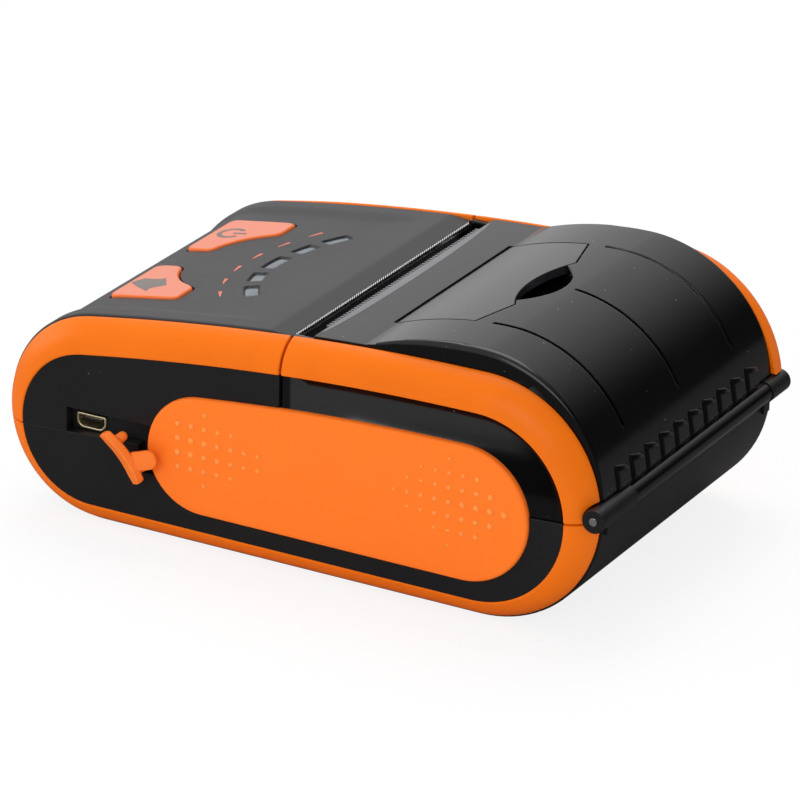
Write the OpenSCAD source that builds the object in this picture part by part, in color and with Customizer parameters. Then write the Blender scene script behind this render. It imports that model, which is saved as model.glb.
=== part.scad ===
// Mobile thermal receipt printer: case, paper cover, print mechanism, battery and electronics.
// Millimetres. X is the width, Y runs from the button end (front) to the hinge end (rear), Z is up.
// The origin is the middle of the flat underside.

/* [Case] */
// Case width at the side panels, without the grips
body_w = 79.8; // [78:0.1:84]
// Case length from nose to hinge end
body_l = 124; // [120:0.5:130]
// Case height at the rear end, without the hood
rear_h = 47.8; // [46:0.1:50]
// Case height at the nose
front_h = 41; // [39:0.1:43]
// Rounding of the orange rims, seen from the end
rim_round = 6.7; // [5.5:0.1:7.5]
// Thickness of the orange rims
rim_t = 2; // [1.6:0.1:2.2]
// Wall thickness of the plastic case
wall = 2; // [1.6:0.1:2.4]
// Width of the top between the rims
top_w = 70; // [68:0.5:71]
// Height of the parting line at the nose
seam_front_z = 17.4; // [16:0.1:19]
// Height of the parting line at the hinge end
seam_rear_z = 23.8; // [23:0.1:24.4]

/* [Side panels and grips] */
// Height of the lower edge of the black side panel
panel_z = 4.4; // [3.6:0.1:5.2]
// Rear radius of the black side panel
panel_rear_r = 18.3; // [17.4:0.1:18.8]
// Front radius of the black side panel
panel_front_r = 15; // [14:0.1:15.6]
// Outer face of the orange grip, from the middle
grip_x = 40.4; // [40:0.1:41.5]
// Height of the lower edge of the grip
grip_z = 8.5; // [8:0.1:10]
// Rear radius of the grip
grip_rear_r = 12.8; // [12:0.1:13.4]
// Front radius of the grip
grip_front_r = 11.2; // [10:0.1:11.8]
// Spacing of the grip dots
dot_pitch = 2.82; // [2.6:0.02:3]
// Radius of a grip dot
dot_r = 0.6; // [0.4:0.05:0.8]

/* [Paper cover] */
// Front edge of the paper cover, from the middle of the case
lid_front_y = 2.4; // [1.8:0.1:4]
// Radius of the hood over the paper roll
hood_r = 26.2; // [25:0.1:27]
// Distance of the hood centre from the hinge
hood_back = 26.2; // [25:0.1:27]
// Where the hood starts to rise, from the middle of the case
crease_y = 13; // [12:0.1:15]
// Width of the three grooves over the hood
groove_w = 1; // [0.6:0.1:1.4]
// Number of ribs above the hinge
rib_count = 10; // [6:1:10]
// Spacing of the ribs
rib_pitch = 6; // [5:0.1:6.2]

/* [Hinge] */
// Height of the hinge pin
hinge_z = 25.2; // [24.8:0.1:25.8]
// Radius of the hinge knuckles
knuckle_r = 2.2; // [2:0.1:2.5]
// Radius of the hinge pin
pin_r = 0.75; // [0.6:0.05:1]

/* [Release lever] */
// Width of the release lever
lever_w = 45; // [40:0.5:48]
// Front edge of the release lever
lever_y = 12.4; // [12.2:0.1:13]
// Length of the release lever at its sides
lever_l = 16.2; // [14:0.1:17]
// Half width of the finger recess
recess_w = 12.3; // [10:0.1:14]
// Depth of the finger recess
recess_d = 3.5; // [3:0.1:3.8]

/* [Buttons and lights] */
// Outer side of the buttons, from the middle
key_x = 23.3; // [22:0.1:24]
// Inner side of the buttons, from the middle
key_in = 4.7; // [4:0.1:6]
// Front edge of the buttons
key_y = -48.4; // [-49:0.1:-47.6]
// Length of the buttons
key_l = 14.7; // [13:0.1:15]
// Radius of the hollow edge of the buttons
key_arc = 13.8; // [13:0.1:14.4]
// Travel of the buttons
key_travel = 0.7; // [0.4:0.1:0.8]
// Outer radius of the row of light windows
light_r = 31.8; // [30:0.1:32.4]
// Width of the light windows
light_w = 3.1; // [2.4:0.1:3.4]

/* [Print mechanism] */
// Radius of the platen roller
platen_r = 4.6; // [4.2:0.1:4.8]
// Length of the platen roller
platen_l = 57; // [54:0.5:57.5]
// Height of the platen roller axis
platen_z = 36.2; // [35.8:0.1:36.6]
// Platen roller axis, behind the front edge of the cover
platen_back = 1.8; // [1.6:0.1:2.2]
// Radius of the platen shaft
shaft_r = 1.5; // [1.2:0.1:1.8]
// Size of one gear tooth
gear_m = 0.8; // [0.76:0.02:0.84]
// Motor radius
motor_r = 7; // [6:0.1:7.2]
// Motor length
motor_l = 12; // [10:0.5:13]
// Radius of the paper roll space
bay_r = 20.4; // [19.5:0.1:20.6]
// Width of the paper roll space
bay_w = 59; // [58:0.5:59.5]

/* [Battery, board and socket] */
// Battery width
cell_w = 42; // [38:0.5:43]
// Battery length
cell_l = 50; // [46:0.5:51]
// Battery height
cell_h = 12.6; // [10:0.1:13]
// Thickness of the circuit boards
board_t = 1.6; // [1.2:0.1:1.8]
// Middle of the USB socket along the case
usb_y = -43.1; // [-44:0.1:-42]
// Width of the USB socket
usb_w = 6.4; // [6:0.1:7.6]
// Height of the USB socket
usb_h = 3; // [2.8:0.1:3.2]
// Radius of the case screws
screw_r = 1; // [0.9:0.05:1.2]

/* [Hidden] */
$fa = 3;
$fs = 0.5;
half_w = body_w / 2;
rear_r = rear_h / 2;
front_r = front_h / 2;
rear_y = body_l / 2 - rear_r;
front_y = front_r - body_l / 2;
run = rear_y - front_y;
top_r = rear_r + run * run / (4 * (rear_r - front_r));
top_z = rear_h - top_r;
top_a = asin(run / (top_r - front_r));
lap = 0.4;
top_x = top_w / 2;
rim_x = top_x + 0.15;
in_w = half_w - 4;
fit = 0.05;
seat = 0.1;
seat_t = rim_t + seat;
split_y = -2.2;
split_gap = 0.5;
tear_y = -lid_front_y;
panel_x = half_w - 0.5;
lid_panel_x = panel_x - 0.3;
hinge_y = body_l / 2;
hood_y = hinge_y - hood_back;
hood_z = hinge_z;
hood_top = hood_z + hood_r;
crease_z = top_z + sqrt(top_r * top_r - (rear_y - crease_y) * (rear_y - crease_y));
hood_rise = hood_top - crease_z;
hood_front_r = ((hood_y - crease_y) * (hood_y - crease_y) + hood_rise * hood_rise) / (2 * hood_rise);
platen_y = lid_front_y + platen_back;
plate_x = platen_l / 2 + 1.7;
plate_t = 1.2;
gear_x = plate_x + plate_t + 0.4;
gear_t = 1.7;
platen_teeth = 15;
idler_teeth = 16;
pinion_teeth = 9;
mesh_gap = 0.12;
platen_idler = gear_m * (platen_teeth + idler_teeth) / 2 + mesh_gap;
idler_pinion = gear_m * (idler_teeth + pinion_teeth) / 2 + mesh_gap;
idler_a = 36.9;
pinion_a = 72;
idler_y = platen_y - platen_idler * sin(idler_a);
idler_z = platen_z - platen_idler * cos(idler_a);
pinion_y = idler_y - idler_pinion * sin(pinion_a);
pinion_z = idler_z + idler_pinion * cos(pinion_a);
key_mid_y = key_y + key_l / 2;
key_tilt = asin((rear_y - key_mid_y) / top_r);
key_top_z = top_z + sqrt(top_r * top_r - (rear_y - key_mid_y) * (rear_y - key_mid_y));
key_board_z = -9.2;
light_y = light_r - 27.5;
lights = [[-38, -27.4], [-23.4, -13.8], [-8.6, 4.4], [9.4, 18.8], [24, 35.4]];
cell_y = -38;
door_t = 1.8;
board_z = 19 - board_t;
usb_z = board_z + board_t + usb_h / 2;
frame_z = 20.4;
knuckle_in = 25.4;
knuckle_far = 31.6;
knuckle_x = half_w - 0.8;
axle_y = lever_y + 4;
axle_z = crease_z - 1.4;
axle_r = 0.8;
grip_y = front_y + 23.6;
strap_y = grip_y - grip_front_r - 1.1;
strap_z = 16.9;
plug_at = [43, strap_y - 3.2, 17.1];
plug_turn = [24, 28, -31];

// Closed outline seen from the side: two round ends on a flat bottom, joined by a shallow arc
module side_outline(z0, yr, rr, yf, rf, o = 0) {
    d = yr - yf;
    big = rr + d * d / (4 * (rr - rf));
    a = asin(d / (big - rf));
    translate([yr, z0 + rr]) circle(r = rr - o);
    translate([yf, z0 + rf]) circle(r = rf - o);
    translate([yf, z0 + o]) square([d, rf - o]);
    intersection() {
        translate([yr, z0 + 2 * rr - big]) circle(r = big - o, $fa = 1);
        translate([yf - (rf - o) * sin(a), z0 + rf]) square([d + (rf - o) * sin(a), 2 * rr - rf]);
    }
}

module case_outline(o = 0) side_outline(0, rear_y, rear_r, front_y, front_r, o);
module panel_outline(o = 0) side_outline(panel_z, rear_y, panel_rear_r, front_y - 0.5, panel_front_r, o);
module grip_outline(o = 0) side_outline(grip_z, rear_y - 1.8, grip_rear_r, grip_y, grip_front_r, o);

// Outline extruded along X
module along_x(x0, x1) translate([x0, 0, 0]) rotate([90, 0, 90]) linear_extrude(x1 - x0) children();

// Profile swept once round the case outline: points are [depth below the outline, x]
module swept(pts) {
    translate([0, rear_y, rear_r]) rotate([0, -90, 0]) rotate_extrude(angle = 180)
        polygon([for (p = pts) [rear_r - p[0], -p[1]]]);
    translate([0, front_y, front_r]) rotate([0, -90, 0]) rotate([0, 0, 180])
        rotate_extrude(angle = 180 - top_a + lap) polygon([for (p = pts) [front_r - p[0], -p[1]]]);
    translate([0, rear_y, top_z]) rotate([0, -90, 0]) rotate([0, 0, -top_a])
        rotate_extrude(angle = top_a) polygon([for (p = pts) [top_r - p[0], -p[1]]]);
    translate([0, rear_y, 0]) rotate([90, 0, 0]) linear_extrude(run)
        polygon([for (p = pts) [p[1], p[0]]]);
}

// Points on the rim curve at a depth t under the orange surface, outward from x0
function curve_pts(t, x0) = let(a0 = asin(max(0, x0 - half_w + rim_round) / (rim_round - t)))
    [for (i = [0:6]) let(a = a0 + (90 - a0) * i / 6)
        [rim_round - (rim_round - t) * cos(a), half_w - rim_round + (rim_round - t) * sin(a)]];
function back_pts(p) = [for (i = [len(p) - 1:-1:0]) p[i]];

module rim_ring() swept(concat(curve_pts(0, rim_x), [[rim_round + 1.6, half_w],
    [rim_round + 1.6, half_w - rim_t]], back_pts(curve_pts(rim_t, rim_x))));
module sub_ring() swept(concat([[seat_t, in_w - 6]], curve_pts(seat_t, rim_x - 1),
    [[rim_round + 4, half_w - seat_t], [rim_round + 4, in_w], [rim_round - 0.2, in_w],
    [rim_t + 1.9, in_w - 1.6], [rim_t + 1.9, in_w - 6]]));

module below_seam(gap = 0) along_x(-60, 60) polygon([[-80, seam_z(-80) - gap], [80, seam_z(80) - gap],
    [80, -10], [-80, -10]]);
module above_seam(gap = 0) along_x(-60, 60) polygon([[-80, seam_z(-80) + gap], [80, seam_z(80) + gap],
    [80, 80], [-80, 80]]);
function seam_z(y) = seam_front_z + (seam_rear_z - seam_front_z) * (y + body_l / 2) / body_l;
module front_of(y) translate([-60, -90, -10]) cube([120, 90 + y, 90]);
module rear_of(y) translate([-60, y, -10]) cube([120, 90 - y, 90]);
module rod_x(x0, x1, r, y, z) translate([x0, y, z]) rotate([0, 90, 0]) cylinder(r = r, h = x1 - x0);
module block(x0, x1, y0, y1, z0, z1) translate([x0, y0, z0]) cube([x1 - x0, y1 - y0, z1 - z0]);

module hinge_room(x0, x1, r) rod_x(x0, x1, r, hinge_y, hinge_z);

screw_spots = [for (y = [front_y - 7.5, front_y + 15.5]) for (x = [29, -29]) [x, y]];

module base_shell() color("#26262A") difference() {
    union() {
        difference() {
            intersection() {
                union() {
                    along_x(-top_x, top_x) case_outline();
                    along_x(-panel_x, panel_x) panel_outline(fit);
                    sub_ring();
                    mirror([1, 0, 0]) sub_ring();
                }
                below_seam();
            }
            along_x(-in_w + 2, in_w - 2) case_outline(wall);
            along_x(-in_w, in_w) case_outline(rim_t + 2.6);
        }
        for (p = screw_spots) translate([p[0], p[1], 2.2]) cylinder(r = 3, h = seam_z(p[1]) - 3.4);
        block(-door_x() - 1.5, door_x() + 1.5, door_y0() - 1.5, door_y1() + 1.5, 1, door_t + 1.6);
        for (x = [-1, 1]) for (y = [cell_y + 4, cell_y + cell_l - 4])
            translate([x * (cell_w / 2 + 3), y, 1]) cylinder(r = 2.4, h = 4);
        intersection() {
            for (x = [[knuckle_in, knuckle_x], [-knuckle_x, -knuckle_far]])
                hull_knuckle(x[0], x[1]);
            block(-60, 60, hinge_y - 6, hinge_y + 6, 10, 40);
        }
        for (x = [-31.5, 31.5]) for (y = [-16, 6]) block(x - 2, x + 2, y - 1.8, y + 1.8, 1, frame_z);
    }
    hinge_room(-60, 60, pin_r + 0.01);
    hinge_room(-knuckle_far + 0.01, knuckle_in - 0.01, knuckle_r + 0.3);
    block(-cell_w / 2 - 0.4, cell_w / 2 + 0.4, cell_y - 0.4, cell_y + cell_l + 0.4, -1, 5);
    block(-door_x(), door_x(), door_y0(), door_y1(), -1, door_t + 0.1);
    for (x = [-1, 1]) for (y = [cell_y + 4, cell_y + cell_l - 4])
        translate([x * (cell_w / 2 + 3), y, 0]) cylinder(r = 0.85, h = 4.4);
    for (p = screw_spots) translate([p[0], p[1], -1]) {
        cylinder(r = 2.4, h = 5);
        cylinder(r = screw_r + 0.1, h = 30);
    }
    strap_room();
}

// Pocket in the side for the strap of the USB plug
module strap_room() block(panel_x - 2.4, 60, strap_y - 1.6, strap_y + 3, strap_z - 3.3, strap_z + 2.6);

function door_x() = cell_w / 2 + 6;
function door_y0() = cell_y - 2;
function door_y1() = cell_y + cell_l + 2;

// Hinge knuckle with its foot on the rear wall
module hull_knuckle(x0, x1) {
    hinge_room(x0, x1, knuckle_r);
    block(max(x0, 1 - top_x), min(x1, top_x - 1), hinge_y - 1.9, hinge_y + 0.4, seam_z(hinge_y) - 3, hinge_z);
}

module half_rim(upper) intersection() {
    difference() {
        rim_ring();
        along_x(30, 50) panel_outline();
        hinge_room(30, 50, knuckle_r + 0.35);
    }
    if (upper) above_seam(0.25); else below_seam();
}

module base_rim_right() color("#F27A1A") half_rim(false);
module base_rim_left() color("#F27A1A") mirror([1, 0, 0]) half_rim(false);

module upper_solid() intersection() {
    union() {
        along_x(-panel_x, panel_x) panel_outline(fit);
        sub_ring();
        mirror([1, 0, 0]) sub_ring();
    }
    above_seam(0.02);
    front_of(split_y);
}

module upper_housing() color("#232326") difference() {
    union() {
        difference() {
            upper_solid();
            along_x(-in_w + 2, in_w - 2) case_outline(wall);
            along_x(-in_w, in_w) case_outline(rim_t + 2.6);
        }
        intersection() {
            along_x(-top_x, top_x) difference() {
                case_outline(wall + fit);
                case_outline(wall + 1.6);
            }
            above_seam(0.02);
            block(-60, 60, -90, front_y - 8, 0, 30);
        }
        for (p = screw_spots) intersection() {
            union() {
                translate([p[0], p[1], 10]) cylinder(r = 3, h = 15);
                block(min(sign(p[0]) * 30, sign(p[0]) * (in_w + 0.5)), max(sign(p[0]) * 30,
                    sign(p[0]) * (in_w + 0.5)), p[1] - 1.2, p[1] + 1.2, 10, 25);
            }
            above_seam(0.02);
        }
    }
    for (p = screw_spots) translate([p[0], p[1], 0]) cylinder(r = screw_r + 0.02, h = 23);
    intersection() {
        block(panel_x - 2.4, 60, usb_y - 4.2, strap_y + 1.7, 0, usb_z + 2.6);
        along_x(30, 50) panel_outline(2);
    }
    along_x(30, 60) usb_plan(0.1);
    strap_room();
}

function dish(o) = 0.7 + o;
function crest(y) = top_z + sqrt(top_r * top_r - (rear_y - y) * (rear_y - y));

module top_cover() color("#5A5A5C") difference() {
    intersection() {
        along_x(-top_x, top_x) difference() {
            case_outline();
            case_outline(wall);
        }
        above_seam(0.3);
        front_of(tear_y);
    }
    intersection() {
        along_x(-top_x + 5.5, top_x - 5.5) difference() {
            case_outline(-3);
            case_outline(dish(0));
        }
        block(-60, 60, front_y - 12, 0, 20, 90);
    }
    key_hole(1, 0.35);
    key_hole(-1, 0.35);
    for (l = lights) light_space(l, 0.04, -3, 5);
    along_x(-top_x + 5.4, top_x - 5.4) translate([tear_y - 1.1, 20]) square([2, crest(tear_y) - 21.3]);
}

// Local frame of the keys: on the top, tilted with it
module on_keys() translate([0, key_mid_y, key_top_z]) rotate([key_tilt, 0, 0]) children();

module key_plan(s, c) intersection() {
    translate([s > 0 ? key_in - c : -key_x - c, -key_l / 2 - c])
        square([key_x - key_in + 2 * c, key_l + 2 * c]);
    difference() {
        square(80, center = true);
        translate([s * 3, -29 - key_mid_y]) circle(r = key_arc - c);
    }
    rotate(s * 4) translate([s * (key_x + key_in) / 2, 0]) square([key_x - key_in + 1 + 2 * c, 30],
        center = true);
}

module key_hole(s, c) on_keys() translate([0, 0, -6]) linear_extrude(12) key_plan(s, c);

module light_space(l, c, z0, z1) translate([0, light_y, 43]) rotate([6, 0, 0]) translate([0, 0, z0])
    linear_extrude(z1 - z0) intersection() {
        difference() {
            circle(r = light_r + c);
            circle(r = light_r - light_w - c);
        }
        polygon([[0, 0], 60 * [sin(l[0] - c), -cos(l[0] - c)], 60 * [sin(l[1] + c), -cos(l[1] + c)]]);
    }

module front_rim(s) color("#F27A1A") intersection() {
    if (s > 0) half_rim(true); else mirror([1, 0, 0]) half_rim(true);
    front_of(split_y);
}
module front_rim_right() front_rim(1);
module front_rim_left() front_rim(-1);

module dots(p, n0, n1, row, y0, z0) for (n = [n0:n1])
    translate([p, y0 + n * dot_pitch, z0 - row * dot_pitch]) sphere(r = dot_r * 1.5);

module grip() {
    along_x(panel_x, grip_x - 0.35) grip_outline();
    along_x(panel_x, grip_x - 0.01) grip_outline(0.8);
    intersection() {
        block(panel_x + 0.3, grip_x + 1, -body_l / 2, body_l / 2, 0, rear_h);
        union() {
            for (r = [[-3, 0, 0], [-2, -2, 2], [-1, -3, 3], [0, -4, 4], [1, -3, 3], [2, -1, 2], [3, 0, 0]])
                dots(grip_x - dot_r * 1.15, r[1], r[2], r[0], rear_y - 4.5, grip_z + grip_rear_r + 1.7);
            for (r = [[-2.5, 2, 2], [-1.5, 0, 4], [-0.5, 0, 6], [0.5, 0, 6], [1.5, 0, 4], [2.5, 2, 2]])
                dots(grip_x - dot_r * 1.15, r[1], r[2], r[0], grip_y - 4.9, grip_z + grip_front_r + 1.6);
        }
    }
}
module grip_right() color("#FF7A20") grip();
module grip_left() color("#FF7A20") mirror([1, 0, 0]) grip();

module tear_bar() color("#C8C8CC") translate([0, tear_y, crest(tear_y) - 0.7])
    along_x(-top_x + 5.6, top_x - 5.6) polygon([[-1.05, -3.6], [0.1, -3.6], [0.45, 0.15], [0.05, 0.15],
        [0.02, -0.65], [-1.05, -0.65]]);

module light_windows() color("#C9CDD2") for (l = lights) intersection() {
    light_space(l, 0, -3, 5);
    along_x(-30, 30) difference() {
        case_outline(dish(0.35));
        case_outline(dish(2.6));
    }
}

module key_board() color("#1F5A38") on_keys() difference() {
    translate([-27, -8, key_board_z - board_t]) cube([54, 27, board_t]);
    for (x = [-24, 24]) translate([x, 14, key_board_z - 3]) cylinder(r = 1.2, h = 5);
}

module key_switches() color("#2B2B2E") on_keys() for (s = [-1, 1]) translate([s * 14.5, -1.5, key_board_z]) {
    translate([-3, -3, 0]) cube([6, 6, 3.4]);
    cylinder(r = 1.6, h = 4.2);
}

module main_board() color("#1F5A38") difference() {
    union() {
        block(-33, 33, front_y - 12.5, front_y + 22, board_z, board_z + board_t);
        block(30, in_w - 0.3, usb_y - 6, usb_y + 6, board_z, board_z + board_t);
    }
    for (p = screw_spots) translate([p[0], p[1], 0]) cylinder(r = 3.3, h = 40);
    for (p = screw_spots) block(sign(p[0]) > 0 ? 29 : -40, sign(p[0]) > 0 ? 40 : -29, p[1] - 1.6,
        p[1] + 1.6, 0, 40);
}

// Outline of the socket shell, with its two lower corners cut off
module usb_plan(o) translate([usb_y, usb_z]) polygon([[-usb_w / 2 - o, usb_h / 2 + o],
    [usb_w / 2 + o, usb_h / 2 + o], [usb_w / 2 + o, 1 - usb_h / 2 - 0.4 * o],
    [usb_w / 2 - 1 + 0.4 * o, -usb_h / 2 - o], [1 - usb_w / 2 - 0.4 * o, -usb_h / 2 - o],
    [-usb_w / 2 - o, 1 - usb_h / 2 - 0.4 * o]]);

module usb_socket() color("#C9A24A") difference() {
    along_x(in_w - 3.5, panel_x - 1.9) usb_plan(0);
    difference() {
        along_x(in_w - 2.5, panel_x) usb_plan(-0.3);
        block(in_w - 3, panel_x - 2.6, usb_y - usb_w / 2 + 1.2, usb_y + usb_w / 2 - 1.2, usb_z + 0.1,
            usb_z + 0.7);
    }
}

head_y = platen_y - platen_r - 0.3;
module print_head() color("#D9D4C4") block(-plate_x + 0.2, plate_x - 0.2, head_y - 1, head_y, 31, 41);
module heat_sink() color("#9EA1A6") difference() {
    block(-plate_x + 0.2, plate_x - 0.2, head_y - 3.4, head_y - 1, 29.6, 41);
    for (x = [-24:4:24]) block(x - 0.8, x + 0.8, head_y - 4, head_y - 2.4, 38, 42);
}
module head_springs() color("#B9BBC0") for (x = [2, 20]) along_x(x - 3, x + 3) polygon([
    [head_y - 7.6, 30], [head_y - 7.1, 30], [head_y - 3.42, 35], [head_y - 7.1, 40], [head_y - 7.6, 40],
    [head_y - 4.1, 35]]);

module mechanism_frame() color("#8A8C91") difference() {
    union() {
        for (s = [-1, 1]) along_x(s > 0 ? plate_x : -plate_x - plate_t, s > 0 ? plate_x + plate_t : -plate_x)
            polygon([[-21, frame_z], [9, frame_z], [9, 33], [11.2, 35], [11.2, 37.2], [platen_y, 37.2],
                [platen_y, 41.2], [-9, 41.2], [-21, 36.6]]);
        for (s = [-1, 1]) block(s > 0 ? 18.6 : -plate_x - 0.1, s > 0 ? plate_x + 0.1 : -18.6, 9.8, 11.2, 35.6,
            37.2);
        block(-plate_x, plate_x, -21, 9, frame_z, frame_z + plate_t);
        block(-12, plate_x, head_y - 8.8, head_y - 7.6, frame_z, 40.6);
        for (x = [-31.5, 31.5]) for (y = [-16, 6]) block(x - 1.8, x + 1.8, y - 1.6, y + 1.6, frame_z,
            frame_z + plate_t);
    }
    hull_slot(platen_y, platen_z, 3.1);
    rod_x(-plate_x - 2, -plate_x + 2, 1.01, idler_y, idler_z);
    rod_x(-plate_x - 2, -plate_x + 2, 1.6, pinion_y, pinion_z);
}
module hull_slot(y, z, r) {
    rod_x(-60, 60, r, y, z);
    block(-60, 60, y - r, y + r, z, 60);
}

module stepper_motor() color("#A7A9AD") difference() {
    union() {
        rod_x(-plate_x + 0.02, -plate_x + motor_l, motor_r, pinion_y, pinion_z);
        rod_x(-plate_x - 1.2, -plate_x + 1, 1.5, pinion_y, pinion_z);
        block(-plate_x + 0.02, -plate_x + 0.8, pinion_y - motor_r, pinion_y + motor_r - 3.4, pinion_z - 3,
            pinion_z + 3);
    }
    rod_x(-plate_x - 3, -plate_x + 9, 0.78, pinion_y, pinion_z);
}

// Spur gear on the X axis with a tooth pointing along the given angle from straight up
module gear(n, a, bore) {
    r = gear_m * n / 2;
    difference() {
        rotate([0, -90, 0]) rotate(a) linear_extrude(gear_t) difference() {
            union() {
                circle(r = r - 1.1 * gear_m);
                for (i = [0:n - 1]) rotate(i * 360 / n) polygon([[r - 1.3 * gear_m, -0.92 * gear_m],
                    [r - 0.2 * gear_m, -0.72 * gear_m], [r + 0.85 * gear_m, -0.3 * gear_m],
                    [r + 0.85 * gear_m, 0.3 * gear_m], [r - 0.2 * gear_m, 0.72 * gear_m],
                    [r - 1.3 * gear_m, 0.92 * gear_m]]);
            }
            circle(r = bore);
        }
    }
}

module motor_pinion() color("#D8C27A") translate([-gear_x, pinion_y, pinion_z]) gear(pinion_teeth,
    pinion_phase, 0.75);
module idler_gear() color("#E6E6E2") translate([-gear_x, idler_y, idler_z])
    gear(idler_teeth, idler_phase, 1.05);
module idler_pin() color("#B9BBC0") rod_x(-gear_x - gear_t - 0.6, -plate_x + 1.6, 1, idler_y, idler_z);
// A tooth of the platen gear points at the idler, which has a gap there; the pinion follows the idler
platen_phase = 180 + idler_a;
idler_phase = idler_a + 180 / idler_teeth;
pinion_phase = 180 - pinion_a - (idler_phase + pinion_a) * idler_teeth / pinion_teeth + 180 / pinion_teeth;

module paper_bay() color("#2E2E31") difference() {
    intersection() {
        translate([0, rear_y, rear_r]) rotate([0, 90, 0]) cylinder(r = bay_r + 1, h = bay_w + 2,
            center = true);
        along_x(-60, 60) polygon([[10, -10], [80, -10], [80, seam_z(hinge_y) - 1.6], [rear_y,
            seam_z(hinge_y) - 1.6],
            [rear_y - 16, 29], [10, 29]]);
    }
    translate([0, rear_y, rear_r]) rotate([0, 90, 0]) cylinder(r = bay_r, h = bay_w, center = true);
}

module battery_pack() color("#3A4A6A") block(-cell_w / 2, cell_w / 2, cell_y, cell_y + cell_l, door_t + 0.3,
    door_t + 0.3 + cell_h);

module battery_door() color("#26262A") difference() {
    block(-door_x() + 0.15, door_x() - 0.15, door_y0() + 0.15, door_y1() - 0.15, 0, door_t);
    for (x = [-1, 1]) for (y = [cell_y + 4, cell_y + cell_l - 4]) translate([x * (cell_w / 2 + 3), y, -1]) {
        cylinder(r = 0.95, h = 4);
        cylinder(r = 1.75, h = 2);
    }
}
module door_screws() color("#9A9CA1") for (x = [-1, 1]) for (y = [cell_y + 4, cell_y + cell_l - 4])
    translate([x * (cell_w / 2 + 3), y, 0.15]) {
        cylinder(r = 1.65, h = 0.8);
        cylinder(r = 0.8, h = 3.9);
    }
module case_screws() color("#9A9CA1") for (p = screw_spots) translate([p[0], p[1], 2.4]) {
    cylinder(r = 2.1, h = 1.6);
    cylinder(r = screw_r, h = 19);
}

module hinge_pin() color("#C8C8CC") rod_x(-knuckle_x + 0.2, knuckle_x + 0.15, pin_r, hinge_y, hinge_z);

module hood_outline(o = 0) {
    translate([hood_y, hood_z]) circle(r = hood_r - o);
    intersection() {
        translate([hood_y, hood_top - hood_front_r]) circle(r = hood_front_r - o, $fa = 1);
        translate([crease_y - 6, hood_z]) square([hood_y - crease_y + 6, hood_r + 5]);
    }
}

module lid_shell() color("#1C1C20") difference() {
    union() {
        difference() {
            intersection() {
                union() {
                    intersection() {
                        along_x(-top_x, top_x) union() {
                            case_outline();
                            hood_outline();
                        }
                        rear_of(lid_front_y);
                    }
                    along_x(-lid_panel_x, lid_panel_x) panel_outline(fit);
                    sub_ring();
                    mirror([1, 0, 0]) sub_ring();
                }
                above_seam(0.25);
                rear_of(split_y + split_gap);
            }
            along_x(-in_w + 2, in_w - 2) union() {
                case_outline(wall);
                hood_outline(wall);
            }
            along_x(-in_w, in_w) case_outline(rim_t + 2.6);
            block(-top_x + 0.3, top_x - 0.3, -20, lid_front_y, 15, 60);
        }
        intersection() {
            hinge_room(-knuckle_far + 0.3, knuckle_in - 0.3, knuckle_r - 0.2);
            rear_of(hinge_y - 4);
        }
        for (s = [-1, 1]) intersection() {
            block(s > 0 ? 23.2 : -25.2, s > 0 ? 25.2 : -23.2, axle_y - 2, axle_y + 2, axle_z - 2, 60);
            along_x(-60, 60) hood_outline(wall - 0.5);
        }
        intersection() {
            recess_plan(1.2);
            along_x(-60, 60) difference() {
                hood_outline(wall - 0.5);
                hood_outline(recess_d + 1.2);
            }
        }
        for (i = [0:rib_count - 1]) intersection() {
            block((i - (rib_count - 1) / 2) * rib_pitch - 0.4, (i - (rib_count - 1) / 2) * rib_pitch + 0.4,
                hinge_y - 4, hinge_y + 1, 27.4, 33);
            along_x(-60, 60) case_outline(-0.35);
        }
    }
    hinge_room(knuckle_in - 0.3, 60, knuckle_r + 0.3);
    hinge_room(-60, -knuckle_far + 0.3, knuckle_r + 0.3);
    hinge_room(-60, 60, pin_r + 0.08);
    intersection() {
        lever_plan(0.3, hood_z, 60);
        along_x(-60, 60) difference() {
            hood_outline(-5);
            hood_outline(2.3);
        }
    }
    intersection() {
        recess_plan(0);
        along_x(-60, 60) difference() {
            hood_outline(-5);
            hood_outline(recess_d);
        }
    }
    rod_x(-60, 60, axle_r + 0.05, axle_y, axle_z);
    for (x = [-lever_w / 2, 0, lever_w / 2]) intersection() {
        block(x - groove_w / 2, x + groove_w / 2, x == 0 ? hood_y + 1.5 : hood_y - 3.5, 80, hinge_z + 11.6,
            80);
        along_x(-60, 60) difference() {
            hood_outline(-5);
            hood_outline(0.6);
        }
    }
}

module lever_shape(c) difference() {
    polygon([[-lever_w / 2 - c, lever_y - c], [lever_w / 2 + c, lever_y - c],
        [lever_w / 2 + c, lever_y + lever_l + c], [recess_w + c, lever_y + lever_l + 2.6 + c],
        [-recess_w - c, lever_y + lever_l + 2.6 + c], [-lever_w / 2 - c, lever_y + lever_l + c]]);
    translate([0, lever_y + lever_l + 25.8]) circle(r = 26.2 - c);
}
module lever_plan(c, z0, z1) translate([0, 0, z0]) linear_extrude(z1 - z0) lever_shape(c);
module recess_plan(c) translate([0, 0, 20]) linear_extrude(50) intersection() {
    translate([0, lever_y + lever_l - 6.6]) circle(r = 13.4 + c);
    translate([-recess_w - c, lever_y + lever_l - 4]) square([2 * recess_w + 2 * c, 30]);
}

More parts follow.
